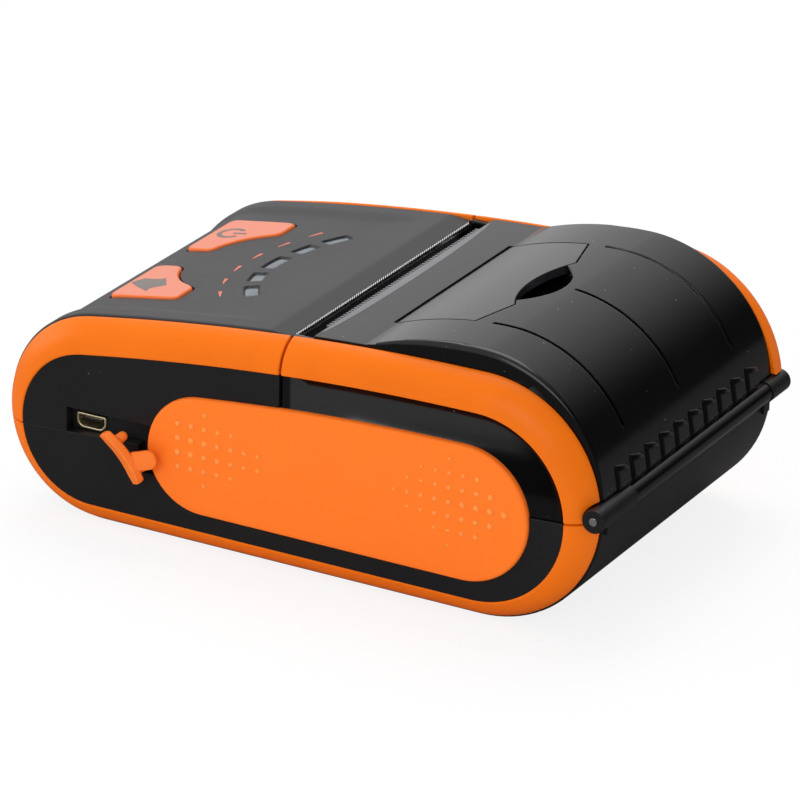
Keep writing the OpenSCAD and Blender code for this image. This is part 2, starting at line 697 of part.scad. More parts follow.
module release_lever() color("#3C3C40") difference() {
    union() {
        intersection() {
            lever_plan(0, hood_z, 60);
            along_x(-60, 60) difference() {
                hood_outline(0);
                hood_outline(1.8);
            }
        }
        for (x = [-20.6, 20.6]) along_x(x - 1.4, x + 1.4) polygon([[axle_y - 1.7, axle_z + 1.6],
            [axle_y - 1.7, axle_z - 1], [axle_y - 2.2, 35.4], [axle_y - 4.7, 35.4], [axle_y - 4.7, 34.4],
            [axle_y - 3.6, 33.4], [axle_y, 33.4], [axle_y + 1.7, axle_z - 1], [axle_y + 1.7, axle_z + 2.2]]);
    }
    rod_x(-60, 60, axle_r + 0.01, axle_y, axle_z);
}
module lever_axle() color("#B9BBC0") rod_x(-25.2, 25.2, axle_r, axle_y, axle_z);

module lid_rim(s) color("#F27A1A") intersection() {
    if (s > 0) half_rim(true); else mirror([1, 0, 0]) half_rim(true);
    rear_of(split_y + split_gap);
}
module lid_rim_right() lid_rim(1);
module lid_rim_left() lid_rim(-1);

module platen_carrier() color("#2E2E31") difference() {
    union() {
        for (x = [-plate_x + 0.35, plate_x - 1.35]) along_x(x, x + 1) polygon([[platen_y - 1.6,
            platen_z - 2.4],
            [platen_y + 2.4, platen_z - 2.4], [platen_y + 2.4, 40], [platen_y + 6.4, 41.6],
            [platen_y + 6.4, top_under(platen_y + 6.4)], [platen_y - 1.6, top_under(platen_y - 1.6)]]);
        block(-plate_x + 0.35, plate_x - 0.35, platen_y + 5.2, platen_y + 6.4, 41.6,
            top_under(platen_y + 5.2));
    }
    rod_x(-60, 60, shaft_r + 0.05, platen_y, platen_z);
}
function top_under(y) = top_z + sqrt(pow(top_r - wall, 2) - pow(rear_y - y, 2)) - 0.02;

module tooth_strip() color("#8F9196") translate([0, 0, crest(0) - 1.2]) linear_extrude(0.6) polygon(concat(
    [[31, lid_front_y], [-31, lid_front_y]],
    [for (i = [0:61]) each [[-31 + i, lid_front_y - 0.7], [-30.5 + i, lid_front_y - 1.3]]],
    [[31, lid_front_y - 0.7]]));

module platen_shaft() color("#B9BBC0")
    rod_x(-gear_x - gear_t - 0.5, plate_x + 1.6, shaft_r, platen_y, platen_z);
module platen_rubber() color("#202022") difference() {
    rod_x(-platen_l / 2, platen_l / 2, platen_r, platen_y, platen_z);
    rod_x(-60, 60, shaft_r, platen_y, platen_z);
}
module platen_gear() color("#E6E6E2") translate([-gear_x, platen_y, platen_z]) gear(platen_teeth,
    platen_phase,
    shaft_r);

// The flange under the cover stops short of the nose, where the cover bends down
module key(s) color("#F08A6A") on_keys() {
    translate([0, 0, -3]) linear_extrude(2.75) key_plan(s, 0);
    translate([0, 0, -wall - 1.5]) linear_extrude(1.1) intersection() {
        key_plan(s, 0.8);
        translate([-40, 2.4 - key_l / 2]) square(80);
    }
    translate([s * 14.5, -1.5, key_board_z + 4.25 + key_travel])
        cylinder(r = 1.4, h = -key_board_z - 7.5);
}
module power_button() key(-1);
module feed_button() key(1);

// Rubber USB plug hanging on its strap
module usb_plug() color("#F27A1A") translate(plug_at) rotate(plug_turn) {
    translate([-0.8, -2.2, -5.9]) cube([1.6, 4.4, 11.8]);
    translate([-3.4, -2, 2.4]) cube([3, 4, 1.8]);
    translate([-5.8, -0.5, -5.4]) cube([5.4, 1, 4.2]);
}

base_shell();
base_rim_right();
base_rim_left();
upper_housing();
top_cover();
front_rim_right();
front_rim_left();
grip_right();
grip_left();
tear_bar();
light_windows();
key_board();
key_switches();
main_board();
usb_socket();
print_head();
heat_sink();
head_springs();
mechanism_frame();
stepper_motor();
motor_pinion();
idler_gear();
idler_pin();
paper_bay();
battery_pack();
battery_door();
door_screws();
case_screws();
hinge_pin();
lid_shell();
lid_rim_right();
lid_rim_left();
platen_carrier();
tooth_strip();
release_lever();
lever_axle();
platen_shaft();
platen_rubber();
platen_gear();
power_button();
feed_button();
usb_plug();
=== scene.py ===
"""Looks of the mobile thermal printer. Models the rims, grips, top cover, hood edge, keys, lights, socket, plug
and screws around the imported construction, gives every part its finish, and sets up the studio."""

import math

import bmesh
import bpy
from mathutils import Matrix, Vector


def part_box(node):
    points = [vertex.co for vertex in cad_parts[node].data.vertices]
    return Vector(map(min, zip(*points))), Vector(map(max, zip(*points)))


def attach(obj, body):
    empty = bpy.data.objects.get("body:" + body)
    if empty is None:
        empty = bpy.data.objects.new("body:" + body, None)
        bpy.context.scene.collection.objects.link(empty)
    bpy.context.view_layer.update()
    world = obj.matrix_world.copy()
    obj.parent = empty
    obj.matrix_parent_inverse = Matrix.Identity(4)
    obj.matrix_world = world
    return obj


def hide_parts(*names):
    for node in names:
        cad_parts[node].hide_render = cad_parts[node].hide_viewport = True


bl_info = {
    "name": "Mobile thermal printer",
    "version": (1, 0, 0),
    "blender": (4, 5, 0),
    "location": "View3D > Sidebar > Printer",
    "description": "Builds the outer pieces and finishes of a mobile thermal printer on its construction",
    "category": "Object",
}

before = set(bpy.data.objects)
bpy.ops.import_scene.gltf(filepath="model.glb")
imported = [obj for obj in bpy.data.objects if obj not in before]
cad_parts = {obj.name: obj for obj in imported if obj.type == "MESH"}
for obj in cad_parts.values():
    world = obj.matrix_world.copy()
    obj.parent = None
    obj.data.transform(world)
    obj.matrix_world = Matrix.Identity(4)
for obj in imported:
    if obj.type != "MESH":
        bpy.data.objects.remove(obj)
MM = 0.001

CREASE = -6.8 * MM  # where the top cover starts to slope down to the slot
LIGHTS = [(-38.0, -27.4), (-23.4, -13.8), (-8.6, 4.4), (9.4, 18.8), (24.0, 35.4)]  # degrees along their arc
LIGHT_RADIUS, LIGHT_WIDTH, LIGHT_TILT, LIGHT_Y = 31.8 * MM, 3.1 * MM, math.radians(6), 4.3 * MM
LIGHT_FRAME = [(0.0, 2.0), (0.0, 0.18), (0.05, 0.1), (0.16, 0.1), (0.27, 0.26), (0.3, 0.9), (0.3, 1.6)]
LIGHT_LENS = [(0.27, 1.5), (0.27, 0.42), (0.35, 0.34), (0.6, 0.29), (1.0, 0.27), (1.3, 0.265)]
KEY_MIDDLE = -41.05 * MM
KEY_CENTRE = (14.5 * MM, -1.5 * MM)  # inside the right key's plan, from the middle of the pair
HOOD = (35.8 * MM, 25.2 * MM, 26.2 * MM)  # y, z and radius of the hood's circle, seen from the side
HOOD_CREASE = 13 * MM  # front end of the slope that leads up to the hood
SHARP = 38  # degrees over which an edge stays sharp


def paint(code):
    """Linear colour of a hex code."""
    parts = [int(code[i:i + 2], 16) / 255 for i in (1, 3, 5)]
    return tuple(c / 12.92 if c <= 0.04045 else ((c + 0.055) / 1.055) ** 2.4 for c in parts) + (1.0,)


def length(name, description, default):
    """A length property in metres, given in millimetres."""
    return bpy.props.FloatProperty(name=name, description=description, default=default * MM, unit="LENGTH",
                                   precision=5)


def colour(name, description, code):
    """A colour property."""
    return bpy.props.FloatVectorProperty(name=name, description=description, default=paint(code), size=4,
                                         subtype="COLOR", min=0, max=1)


class PrinterSizes(bpy.types.PropertyGroup):
    """Sizes of the case, as in the construction, and of the details that only the looks have."""
    body_width: length("Case width", "Width over the side panels", 79.8)
    body_length: length("Case length", "Length from nose to hinge end", 124)
    rear_height: length("Rear height", "Case height at the hinge end", 47.8)
    front_height: length("Front height", "Case height at the nose", 41)
    rim_round: length("Rim rounding", "Rounding of the orange rims", 6.7)
    full_round: length("Far rim rounding", "Rounding of the far rims at their fullest", 2.8)
    full_proud: length("Far rim height", "Height of the far rims over the case at their fullest", 1.1)
    rim_thickness: length("Rim thickness", "Thickness of the orange rims", 2)
    top_width: length("Top width", "Width of the top between the rims", 70)
    seam_front: length("Seam at the nose", "Height of the parting line at the nose", 17.4)
    seam_rear: length("Seam at the hinge", "Height of the parting line at the hinge end", 23.8)
    panel_low: length("Panel lower edge", "Height of the lower edge of the side panel", 4.4)
    panel_rear_r: length("Panel rear radius", "Rear radius of the side panel", 18.3)
    panel_front_r: length("Panel front radius", "Front radius of the side panel", 15)
    grip_face: length("Grip face", "Outer face of the grip from the middle", 40.4)
    grip_low: length("Grip lower edge", "Height of the lower edge of the grip", 8.5)
    grip_rear_r: length("Grip rear radius", "Rear radius of the grip", 12.8)
    grip_front_r: length("Grip front radius", "Front radius of the grip", 11.2)
    grip_edge: length("Grip edge", "Rounding of the edge of the grip", 0.8)
    dot_pitch: length("Dot spacing", "Spacing of the grip dots", 2.82)
    dot_radius: length("Dot radius", "Radius of the largest grip dots", 0.66)
    hood_edge: length("Hood edge", "Rounding of the side edges of the hood", 1.3)
    dish_depth: length("Dish depth", "Depth of the dished middle of the top cover", 0.7)
    key_round: length("Key edge", "Rounding of the upper edge of the keys", 0.55)
    tick_radius: length("Tick radius", "Radius of the arc of ticks beside the lights", 36.2)


class PrinterColours(bpy.types.PropertyGroup):
    """Colours of the finishes."""
    rim: colour("Rims", "Orange of the rims", "#EC7008")
    grip: colour("Grips", "Orange of the grips", "#FF7A22")
    case: colour("Case", "Satin black of the lower case and front", "#151517")
    lid: colour("Paper cover", "Glossy smoke black of the paper cover", "#08080A")
    top: colour("Top cover", "Dark grey of the top cover", "#3C3C3E")
    lever: colour("Release lever", "Dark grey of the release lever", "#2B2B2F")
    key: colour("Key tops", "Coral of the key tops", "#DC8268")
    key_edge: colour("Key edges", "Orange of the edges of the keys", "#F0702A")
    mark: colour("Marks", "Grey of the signs on the keys", "#6E6460")
    tick: colour("Ticks", "Coral of the ticks beside the lights", "#D9694A")
    lens: colour("Light windows", "Bluish grey of the light windows", "#5E666E")


def sign(operation, swapped=False):
    """A sign for expressions between sockets, which adds a Math node."""
    if swapped:
        return lambda self, other: self.math(operation, other, self)
    return lambda self, other: self.math(operation, self, other)


class Field:
    """A socket that can be used in expressions."""
    __add__, __mul__, __truediv__ = sign("ADD"), sign("MULTIPLY"), sign("DIVIDE")
    __sub__, __rsub__, largest = sign("SUBTRACT"), sign("SUBTRACT", True), sign("MAXIMUM")

    def __init__(self, net, socket):
        self.net, self.socket = net, socket

    def math(self, operation, *values):
        return self.net.field("ShaderNodeMath", {"operation": operation}, dict(enumerate(values)))

    def __neg__(self):
        return self * -1.0

    def __abs__(self):
        return self.math("ABSOLUTE", self)

    def wave(self):
        return self.math("SINE", self)

    def ramp(self, low, high):
        """Smooth step from 0 at low to 1 at high."""
        return self.net.field("ShaderNodeMapRange", {"interpolation_type": "SMOOTHSTEP"},
                              {"Value": self, "From Min": low, "From Max": high}, "Result")


class Net:
    """A node tree whose nodes are all made by one method. Sizes are in millimetres."""

    def __init__(self, tree):
        self.tree = tree

    def node(self, kind, settings=None, sockets=None):
        """Adds a node. Its settings are set first, then the values or links of its sockets."""
        made = self.tree.nodes.new(kind)
        for name, value in (settings or {}).items():
            setattr(made, name, value)
        for name, value in (sockets or {}).items():
            self.join(made.inputs[name], value)
        return made

    def join(self, socket, value):
        """Links a socket to a field, node or other socket, or sets its value."""
        if isinstance(value, Field):
            value = value.socket
        if isinstance(value, bpy.types.Node):
            value = value.outputs[0]
        if isinstance(value, bpy.types.NodeSocket):
            self.tree.links.new(value, socket)
        else:
            socket.default_value = value

    def field(self, kind, settings=None, sockets=None, output=0):
        """The chosen output of a new node, ready for expressions."""
        return Field(self, self.node(kind, settings, sockets).outputs[output])

    def split(self, vector):
        """The three parts of a vector, ready for expressions."""
        return [Field(self, part) for part in self.node("ShaderNodeSeparateXYZ", None, {0: vector}).outputs]

    def combine(self, x=0.0, y=0.0, z=0.0):
        """A vector from its parts."""
        return self.node("ShaderNodeCombineXYZ", None, {0: x, 1: y, 2: z})

    def spot(self, kind="Object"):
        """Texture coordinates of a kind."""
        return self.node("ShaderNodeTexCoord").outputs[kind]

    def place(self, scale):
        """Object coordinates, stretched by a Mapping node."""
        return self.node("ShaderNodeMapping", None, {"Vector": self.spot(), "Scale": scale})

    def noise(self, size, detail=3.0, rough=0.5, stretch=(1.0, 1.0, 1.0)):
        """Noise whose grains are about the given size."""
        return self.field("ShaderNodeTexNoise", None, {"Vector": self.place(stretch), "Scale": 1.0 / (size * MM),
                                                       "Detail": detail, "Roughness": rough})

    def cells(self, size, stretch=(1.0, 1.0, 1.0), feature="F1"):
        """Distance to the nearest of scattered points, about the given size apart."""
        return self.field("ShaderNodeTexVoronoi", {"feature": feature},
                          {"Vector": self.place(stretch), "Scale": 1.0 / (size * MM)}, "Distance")

    def mix(self, factor, first, second):
        """Colour between two colours."""
        return self.node("ShaderNodeMix", {"data_type": "RGBA"}, {0: factor, 6: first, 7: second}).outputs[2]


def shade(tint, factor):
    """A colour made darker or lighter by a factor."""
    return tuple(min(1.0, c * factor) for c in tint[:3]) + (1.0,)


class Finish:
    """A material with one Principled shader, whose varying channels come from expressions."""

    def __init__(self, name):
        self.material = bpy.data.materials.new(name)
        self.material.use_nodes = True
        self.net = Net(self.material.node_tree)
        self.shader = self.material.node_tree.nodes["Principled BSDF"]

    def dress(self, base, rough, specular=0.5, metallic=0.0, coat=0.0, coat_rough=0.1):
        """Sets the channels of the shader to values or expressions."""
        for name, value in (("Base Color", base), ("Roughness", rough), ("Specular IOR Level", specular),
                            ("Metallic", metallic), ("Coat Weight", coat), ("Coat Roughness", coat_rough)):
            self.net.join(self.shader.inputs[name], value)

    def relief(self, height, depth, edge=0.0):
        """Bump of a depth, over edges rounded by a radius, both in millimetres."""
        sockets = {"Height": height, "Distance": depth * MM, "Strength": 1.0}
        if edge:
            sockets["Normal"] = self.net.node("ShaderNodeBevel", {"samples": 6}, {"Radius": edge * MM})
        self.net.join(self.shader.inputs["Normal"], self.net.node("ShaderNodeBump", None, sockets))


def moulded(finish, tint, rough, grain, depth, edge=0.25, specular=0.5, spread=0.06, dust=0.0, crease=None):
    """Moulded plastic: fine grain, soft clouds, faint rubs and a little dust. Beyond a crease it is darker:
    painted shade.
    """
    net = finish.net
    clouds = net.noise(14, 4.0)
    pores = net.noise(grain, 2.0, 0.6)
    rubs = net.noise(1.1, 3.0, 0.7, (1.0, 0.07, 1.0)).ramp(0.63, 0.8)
    base = net.mix(clouds.ramp(0.3, 0.7), shade(tint, 1 - spread), shade(tint, 1 + spread))
    wear = clouds * 0.08 + rubs * 0.05
    # Painted shade: past the crease the colour goes towards a third of the tint, for the slope down to the slot.
    if crease is not None:
        painted_slope_shade = net.split(net.spot())[1].ramp(crease - 0.2 * MM, crease + 0.2 * MM)
        base = net.mix(painted_slope_shade * 0.45, base, shade(tint, 0.35))
    if dust:
        specks = (1.0 - net.cells(2.6).ramp(0.02, 0.075)) * net.noise(5, 2.0).ramp(0.48, 0.62) * dust
        base = net.mix(specks, base, paint("#A6A3A8"))
        finish.dress(base, wear + specks * 0.4 + (rough - 0.04), specular)
    else:
        finish.dress(base, wear + pores * 0.04 + (rough - 0.06), specular)
    finish.relief(pores, depth, edge)


def metal(finish, tint, rough, edge=0.12, brush=(0.04, 1.0, 1.0)):
    """Brushed metal, with its brushing drawn out along one axis and a few duller spots."""
    net = finish.net
    lines = net.noise(0.25, 3.0, 0.6, brush)
    spots = net.noise(3, 4.0, 0.65).ramp(0.52, 0.78)
    finish.dress(net.mix(spots, tint, shade(tint, 0.8)), lines * 0.16 + spots * 0.12 + (rough - 0.06),
                 metallic=1.0)
    finish.relief(lines, 0.006, edge)


def keycap(finish, top_tint, edge_tint):
    """Key plastic: printed coral face, with the orange body showing round its edge."""
    net = finish.net
    tilt, origin = key_place()
    _, y, z = net.split(net.spot())
    height = (z - origin.z) * math.cos(tilt) - (y - origin.y) * math.sin(tilt)
    clouds, pores = net.noise(5, 3.0), net.noise(0.16, 2.0, 0.6)
    printed = net.mix(clouds, shade(top_tint, 0.94), shade(top_tint, 1.05))
    finish.dress(net.mix(height.ramp(-0.36 * MM, -0.27 * MM), edge_tint, printed),
                 clouds * 0.08 + pores * 0.06 + 0.4, 0.45)
    finish.relief(pores, 0.006)


def board(finish):
    """Circuit board: green mask over copper tracks, with tinned pads."""
    net, flat = finish.net, (1.0, 1.0, 0.1)
    tracks = 1.0 - net.cells(2.4, flat, "DISTANCE_TO_EDGE").ramp(0.05, 0.1)
    pads = 1.0 - net.cells(3.1, flat).ramp(0.16, 0.2)
    mask = net.mix(tracks, paint("#155233"), paint("#2C7A48"))
    finish.dress(net.mix(pads, mask, paint("#C8C6BE")), 0.38 - pads * 0.1, 0.5, pads * 0.9, 0.4, 0.2)
    finish.relief(tracks + pads, 0.03, 0.1)


def rubber(finish, tint, rough, grain=0.3):
    """Dull rubber with a worn, slightly dusty skin."""
    net = finish.net
    clouds = net.noise(6, 5.0, 0.6)
    finish.dress(net.mix(clouds.ramp(0.35, 0.75), shade(tint, 0.92), shade(tint, 1.12)),
                 clouds * 0.1 + (rough - 0.05), 0.3)
    finish.relief(net.noise(grain, 3.0, 0.6), 0.012, 0.15)


def ceramic(finish):
    """Print head: pale ceramic with a dark glazed heater line and fine leads."""
    net = finish.net
    low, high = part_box("print_head")
    heater_z = low.z + 0.52 * (high.z - low.z)
    x, _, z = net.split(net.spot())
    line = 1.0 - abs(z - heater_z).ramp(0.35 * MM, 0.5 * MM)
    leads = (x * (math.tau / (0.6 * MM))).wave().ramp(0.2, 0.6)
    glaze = net.mix(leads * 0.5, paint("#E4DFD2"), paint("#BFA76A"))
    finish.dress(net.mix(line, glaze, paint("#3A2E28")), 0.42 - line * 0.25)
    finish.relief(line, 0.02, 0.1)


def wrap(finish):
    """Battery in shrink wrap: slightly wrinkled blue film over the cell."""
    wrinkles = finish.net.noise(7, 4.0, 0.55, (1.0, 0.3, 1.0))
    finish.dress(finish.net.mix(wrinkles, paint("#24406E"), paint("#35558C")), wrinkles * 0.12 + 0.28,
                 coat=0.5, coat_rough=0.15)
    finish.relief(wrinkles, 0.12, 0.6)


def lens(finish, tint):
    """Light window: smoky plastic over a paler diffuser."""
    net = finish.net
    cloud = net.noise(2.2, 3.0)
    finish.dress(net.mix(cloud.ramp(0.3, 0.7), shade(tint, 0.7), shade(tint, 1.15)), cloud * 0.1 + 0.2, 0.4,
                 coat=0.15)
    finish.relief(net.noise(0.5, 2.0), 0.01)


# Material, kind and the values of that kind for every finish. A text among the values is a hex code or the name
# of one of the printer's colours.
FINISHES = {
    "orange_rim": ("rim orange", moulded, "rim", 0.38, 0.2, 0.004, 0.25, 0.14, 0.025),
    "orange_grip": ("grip orange", moulded, "grip", 0.52, 0.14, 0.008, 0.25, 0.14, 0.02),
    # The dots are the grip's rubber with a lighter orange: painted highlight on their tops.
    "orange_dot_painted_highlight": ("dot orange", moulded, (1.0, 0.29, 0.05, 1.0), 0.45, 0.14, 0.004, 0.25, 0.25, 0.02),
    "orange_plug": ("plug orange", rubber, "grip", 0.5, 0.2),
    "black_case": ("case black", moulded, "case", 0.42, 0.12, 0.012, 0.25, 0.35, 0.06, 0.35),
    "smoke_cover": ("cover smoke", moulded, "lid", 0.14, 0.6, 0.002, 0.3, 0.34, 0.06, 0.6),
    "lever_grey": ("lever grey", moulded, "lever", 0.22, 0.4, 0.003, 0.3, 0.5, 0.06, 0.3),
    # The top grey is darkened past CREASE with painted shade on the slope to the slot.
    "grey_top": ("top grey", moulded, "top", 0.5, 0.13, 0.02, 0.2, 0.2, 0.09, 0.0, CREASE),
    "inner_black": ("inner black", moulded, "#242427", 0.55, 0.2, 0.01, 0.2),
    "switch_black": ("switch black", moulded, "#1B1B1D", 0.4, 0.1, 0.006, 0.12),
    "gear_white": ("gear white", moulded, "#E2E1DA", 0.38, 0.2, 0.004, 0.08),
    "strip_grey": ("strip grey", moulded, "#6A6A6E", 0.35, 0.14, 0.004, 0.1, 0.4),
    "key_mark": ("key mark", moulded, "mark", 0.5, 0.15, 0.004, 0.0),
    "tick_coral": ("tick coral", moulded, "tick", 0.5, 0.15, 0.004, 0.0),
    "key_coral": ("key coral", keycap, "key", "key_edge"),
    "window_clear": ("window lens", lens, "lens"),
    "steel": ("steel", metal, "#C4C5C9", 0.26),
    "bright_steel": ("bright steel", metal, "#F2F2F2", 0.2, 0.05),
    "alloy": ("alloy", metal, "#A5A8AC", 0.38, 0.12, (1.0, 1.0, 0.06)),
    "brass": ("brass", metal, "#FFEFC4", 0.34, 0.05, (1.0, 0.3, 1.0)),
    "board_green": ("board green", board),
    "roller_black": ("roller black", rubber, "#26262A", 0.66),
    "ceramic": ("head ceramic", ceramic),
    "battery_blue": ("battery wrap", wrap),
}
made_finishes = {}


def finish_of(name):
    """The material of a finish, made on first use."""
    if name not in made_finishes:
        label, kind, *values = FINISHES[name]
        for i, value in enumerate(values):
            if isinstance(value, str):
                values[i] = (paint(value) if value[0] == "#"
                             else tuple(getattr(bpy.context.scene.printer_colours, value)))
        finish = Finish(label)
        kind(finish, *values)
        made_finishes[name] = finish.material
    return made_finishes[name]


def halve(low, high, holds):
    """The place between two values where a test that holds from the low one on stops holding."""
    for _ in range(40):
        middle = (low + high) / 2
        if holds(middle):
            low = middle
        else:
            high = middle
    return low


def smooth_most(values, soft):
    """Largest of some values, with the corner between them rounded."""
    most = values[0]
    for value in values[1:]:
        near = max(soft - abs(most - value), 0) / soft
        most = max(most, value) + near * near * soft / 4
    return most


def smooth(low, high, value):
    """Smooth step between two values."""
    share = min(max((value - low) / (high - low), 0.0), 1.0)
    return share * share * (3 - 2 * share)


def quarter(count):
    """Even angles up to a right angle."""
    return [math.pi / 2 * i / count for i in range(1, count + 1)]


def star(distance, centre, count, inset, reach):
    """Points at even angles round a centre where a signed distance is minus the inset."""
    points = []
    for i in range(count):
        across, up = math.cos(math.tau * i / count), math.sin(math.tau * i / count)
        r = halve(0.0, reach, lambda r: distance(centre[0] + r * across, centre[1] + r * up) < -inset)
        points.append((centre[0] + r * across, centre[1] + r * up))
    return points


class Outline:
    """Closed outline seen from the side: two round ends on a flat bottom, joined by a shallow arc."""

    def __init__(self, low, rear_y, rear_r, front_y, front_r):
        run = rear_y - front_y
        top_r = rear_r + run * run / (4 * (rear_r - front_r))
        self.low = low
        self.rear = (rear_y, low + rear_r, rear_r)
        self.front = (front_y, low + front_r, front_r)
        self.top = (rear_y, low + 2 * rear_r - top_r, top_r)
        self.lean = math.asin(run / (top_r - front_r))
        self.marks = [rear_r * math.pi, top_r * self.lean, front_r * (math.pi - self.lean), run]
        self.whole = sum(self.marks)

    def at(self, s, depth=0.0):
        """Point below the outline at a distance s along it, from the lower end of the rear arc upwards."""
        s %= self.whole
        rear, top, front, _ = self.marks
        if s <= rear:
            (y, z, r), angle = self.rear, s / self.rear[2]
        elif s <= rear + top:
            (y, z, r), angle = self.top, math.pi + (s - rear) / self.top[2]
        elif s <= rear + top + front:
            (y, z, r), angle = self.front, math.pi + self.lean + (s - rear - top) / self.front[2]
        else:
            return Vector((0, self.front[0] + (s - rear - top - front), self.low + depth))
        return Vector((0, y + (r - depth) * math.sin(angle), z - (r - depth) * math.cos(angle)))

    def distance(self, y, z):
        """Signed distance of a point near the outline, negative inside."""
        fy, fz, _ = self.front
        ty, tz, _ = self.top
        if y >= self.rear[0]:
            mid_y, mid_z, radius = self.rear
        elif z > fz and math.atan2(ty - y, z - tz) <= self.lean:
            mid_y, mid_z, radius = self.top
        elif y < fy or z > fz:
            mid_y, mid_z, radius = self.front
        else:
            return self.low - z
        return math.hypot(y - mid_y, z - mid_z) - radius

    def height(self, y, depth=0.0):
        """Height of the shallow arc over a place along the case."""
        ty, tz, tr = self.top
        return tz + math.sqrt((tr - depth) ** 2 - (ty - y) ** 2)

    def lean_at(self, y):
        """Slope angle of the shallow arc over a place along the case."""
        return math.asin((self.top[0] - y) / self.top[2])


class Case:
    """Outlines and planes that the modelled pieces share, worked out from the sizes."""

    def __init__(self):
        self.sizes = sizes = bpy.context.scene.printer_sizes
        rear_r, front_r = sizes.rear_height / 2, sizes.front_height / 2
        rear_y, front_y = sizes.body_length / 2 - rear_r, front_r - sizes.body_length / 2
        self.half, self.side = sizes.body_width / 2, sizes.top_width / 2
        self.rim_side = self.side + 0.15 * MM
        self.outline = Outline(0.0, rear_y, rear_r, front_y, front_r)
        self.panel = Outline(sizes.panel_low, rear_y, sizes.panel_rear_r, front_y - 0.5 * MM,
                             sizes.panel_front_r)
        self.grip = Outline(sizes.grip_low, rear_y - 1.8 * MM, sizes.grip_rear_r, front_y + 23.6 * MM,
                            sizes.grip_front_r)

    def seam(self, gap):
        """Signed height over the parting plane, raised by a gap."""
        middle = (self.sizes.seam_front + self.sizes.seam_rear) / 2
        slope = (self.sizes.seam_rear - self.sizes.seam_front) / self.sizes.body_length
        return lambda p: p.z - middle - slope * p.y - gap

    def panel_depth(self, s):
        """Depth below the case outline at which the side panel starts."""
        def outside(depth):
            point = self.outline.at(s, depth)
            return self.panel.distance(point.y, point.z) > 0
        return halve(0.0, 14 * MM, outside)

    def crossing(self, low, high, plane, below=0.0):
        """Distance along the outline, between two others, at which points this far below it cross a plane."""
        first = plane(self.outline.at(low, below)) > 0
        return halve(low, high, lambda s: (plane(self.outline.at(s, below)) > 0) == first)

    def crossing_on(self, arc, plane):
        """Distance along the outline at which its rear, top or front arc crosses a plane."""
        start = sum(self.outline.marks[:("rear", "top", "front").index(arc)])
        reach = self.outline.marks[("rear", "top", "front").index(arc)]
        return self.crossing(start, start + reach, plane)


def shown(name, mesh):
    """A new object in the scene that shows a mesh."""
    made = bpy.data.objects.new(name, mesh)
    bpy.context.scene.collection.objects.link(made)
    return made


def plain_mesh(name, work, materials):
    """A mesh with its materials from a working mesh, which is then freed."""
    mesh = bpy.data.meshes.new(name)
    work.to_mesh(mesh)
    work.free()
    for material in materials:
        mesh.materials.append(material)
    return mesh


def smooth_faces(made, sharp=SHARP):
    """Shades a piece smooth up to an angle in degrees."""
    made.data.shade_smooth()
    made.data.set_sharp_from_angle(angle=math.radians(sharp))
    return made


def settle(made, sharp=SHARP):
    """Merges doubles, turns the faces outwards, and shades smooth up to an angle in degrees."""
    work = bmesh.new()
    work.from_mesh(made.data)
    bmesh.ops.remove_doubles(work, verts=work.verts, dist=1e-7)
    bmesh.ops.recalc_face_normals(work, faces=work.faces)
    work.to_mesh(made.data)
    work.free()
    return smooth_faces(made, sharp)


def solid(name, rings, finish, sharp=SHARP):
    """A closed piece from closed rings joined one after another, with both ends closed."""
    count, last = len(rings[0]), len(rings[0]) * (len(rings) - 1)
    faces = []
    for near in range(0, last, count):
        for i in range(count):
            j = (i + 1) % count
            faces.append((near + i, near + j, near + count + j, near + count + i))
    faces += [tuple(reversed(range(count))), tuple(range(last, last + count))]
    mesh = bpy.data.meshes.new(name)
    mesh.from_pydata([tuple(point) for ring in rings for point in ring], [], faces)
    mesh.materials.append(finish_of(finish))
    return settle(shown(name, mesh), sharp)


def turned(name, profile, centre, axis, finish, count=32, sharp=SHARP):
    """A solid turned round an axis. The profile lists distances along it and radii, in millimetres."""
    axis = Vector(axis).normalized()
    across = axis.orthogonal().normalized()
    other = axis.cross(across)
    turns = [math.tau * i / count for i in range(count)]
    return solid(name, [[Vector(centre) + axis * along * MM
                         + (across * math.cos(a) + other * math.sin(a)) * radius * MM for a in turns]
                        for along, radius in profile], finish, sharp)


def prism(name, plan, low, high, where, finish):
    """A plan extruded between two heights in a given frame."""
    return solid(name, [[where @ Vector((x, y, z)) for x, y in plan] for z in (low, high)], finish, 30)


def block(name, low, high, edge, finish, segments=3):
    """A block between two corners, with its edges rounded by a radius in millimetres."""
    work = bmesh.new()
    bmesh.ops.create_cube(work, size=1.0)
    for vertex in work.verts:
        vertex.co = Vector([low[i] if vertex.co[i] < 0 else high[i] for i in range(3)])
    bmesh.ops.bevel(work, geom=list(work.edges), offset=edge * MM, segments=segments, profile=0.5,
                    affect="EDGES", clamp_overlap=True)
    return settle(shown(name, plain_mesh(name, work, [finish_of(finish)])))


def apply_all(made):
    """Turns an object's evaluated shape into its plain mesh."""
    bpy.context.view_layer.update()
    graph = bpy.context.evaluated_depsgraph_get()
    result = bpy.data.meshes.new_from_object(made.evaluated_get(graph))
    made.modifiers.clear()
    made.data = result


def cut(made, tools, sharp=SHARP):
    """Cuts closed shapes out of a piece."""
    for tool in tools:
        modifier = made.modifiers.new("cut", "BOOLEAN")
        modifier.operation = "DIFFERENCE"
        modifier.solver = "EXACT"
        modifier.object = tool
    apply_all(made)
    for tool in tools:
        bpy.data.objects.remove(tool)
    return settle(made, sharp)


def join(name, parts):
    """One object from several, with the finishes of them all."""
    work = bmesh.new()
    finishes = []
    for part in parts:
        first = len(work.faces)
        work.from_mesh(part.data)
        work.faces.ensure_lookup_table()
        slots = []
        for material in part.data.materials:
            if material not in finishes:
                finishes.append(material)
            slots.append(finishes.index(material))
        for face in work.faces[first:]:
            face.material_index = slots[min(face.material_index, len(slots) - 1)]
    mesh = plain_mesh(name, work, finishes)
    for part in parts:
        bpy.data.objects.remove(part)
    made = shown(name, mesh)
    mesh.set_sharp_from_angle(angle=math.radians(SHARP))
    return made


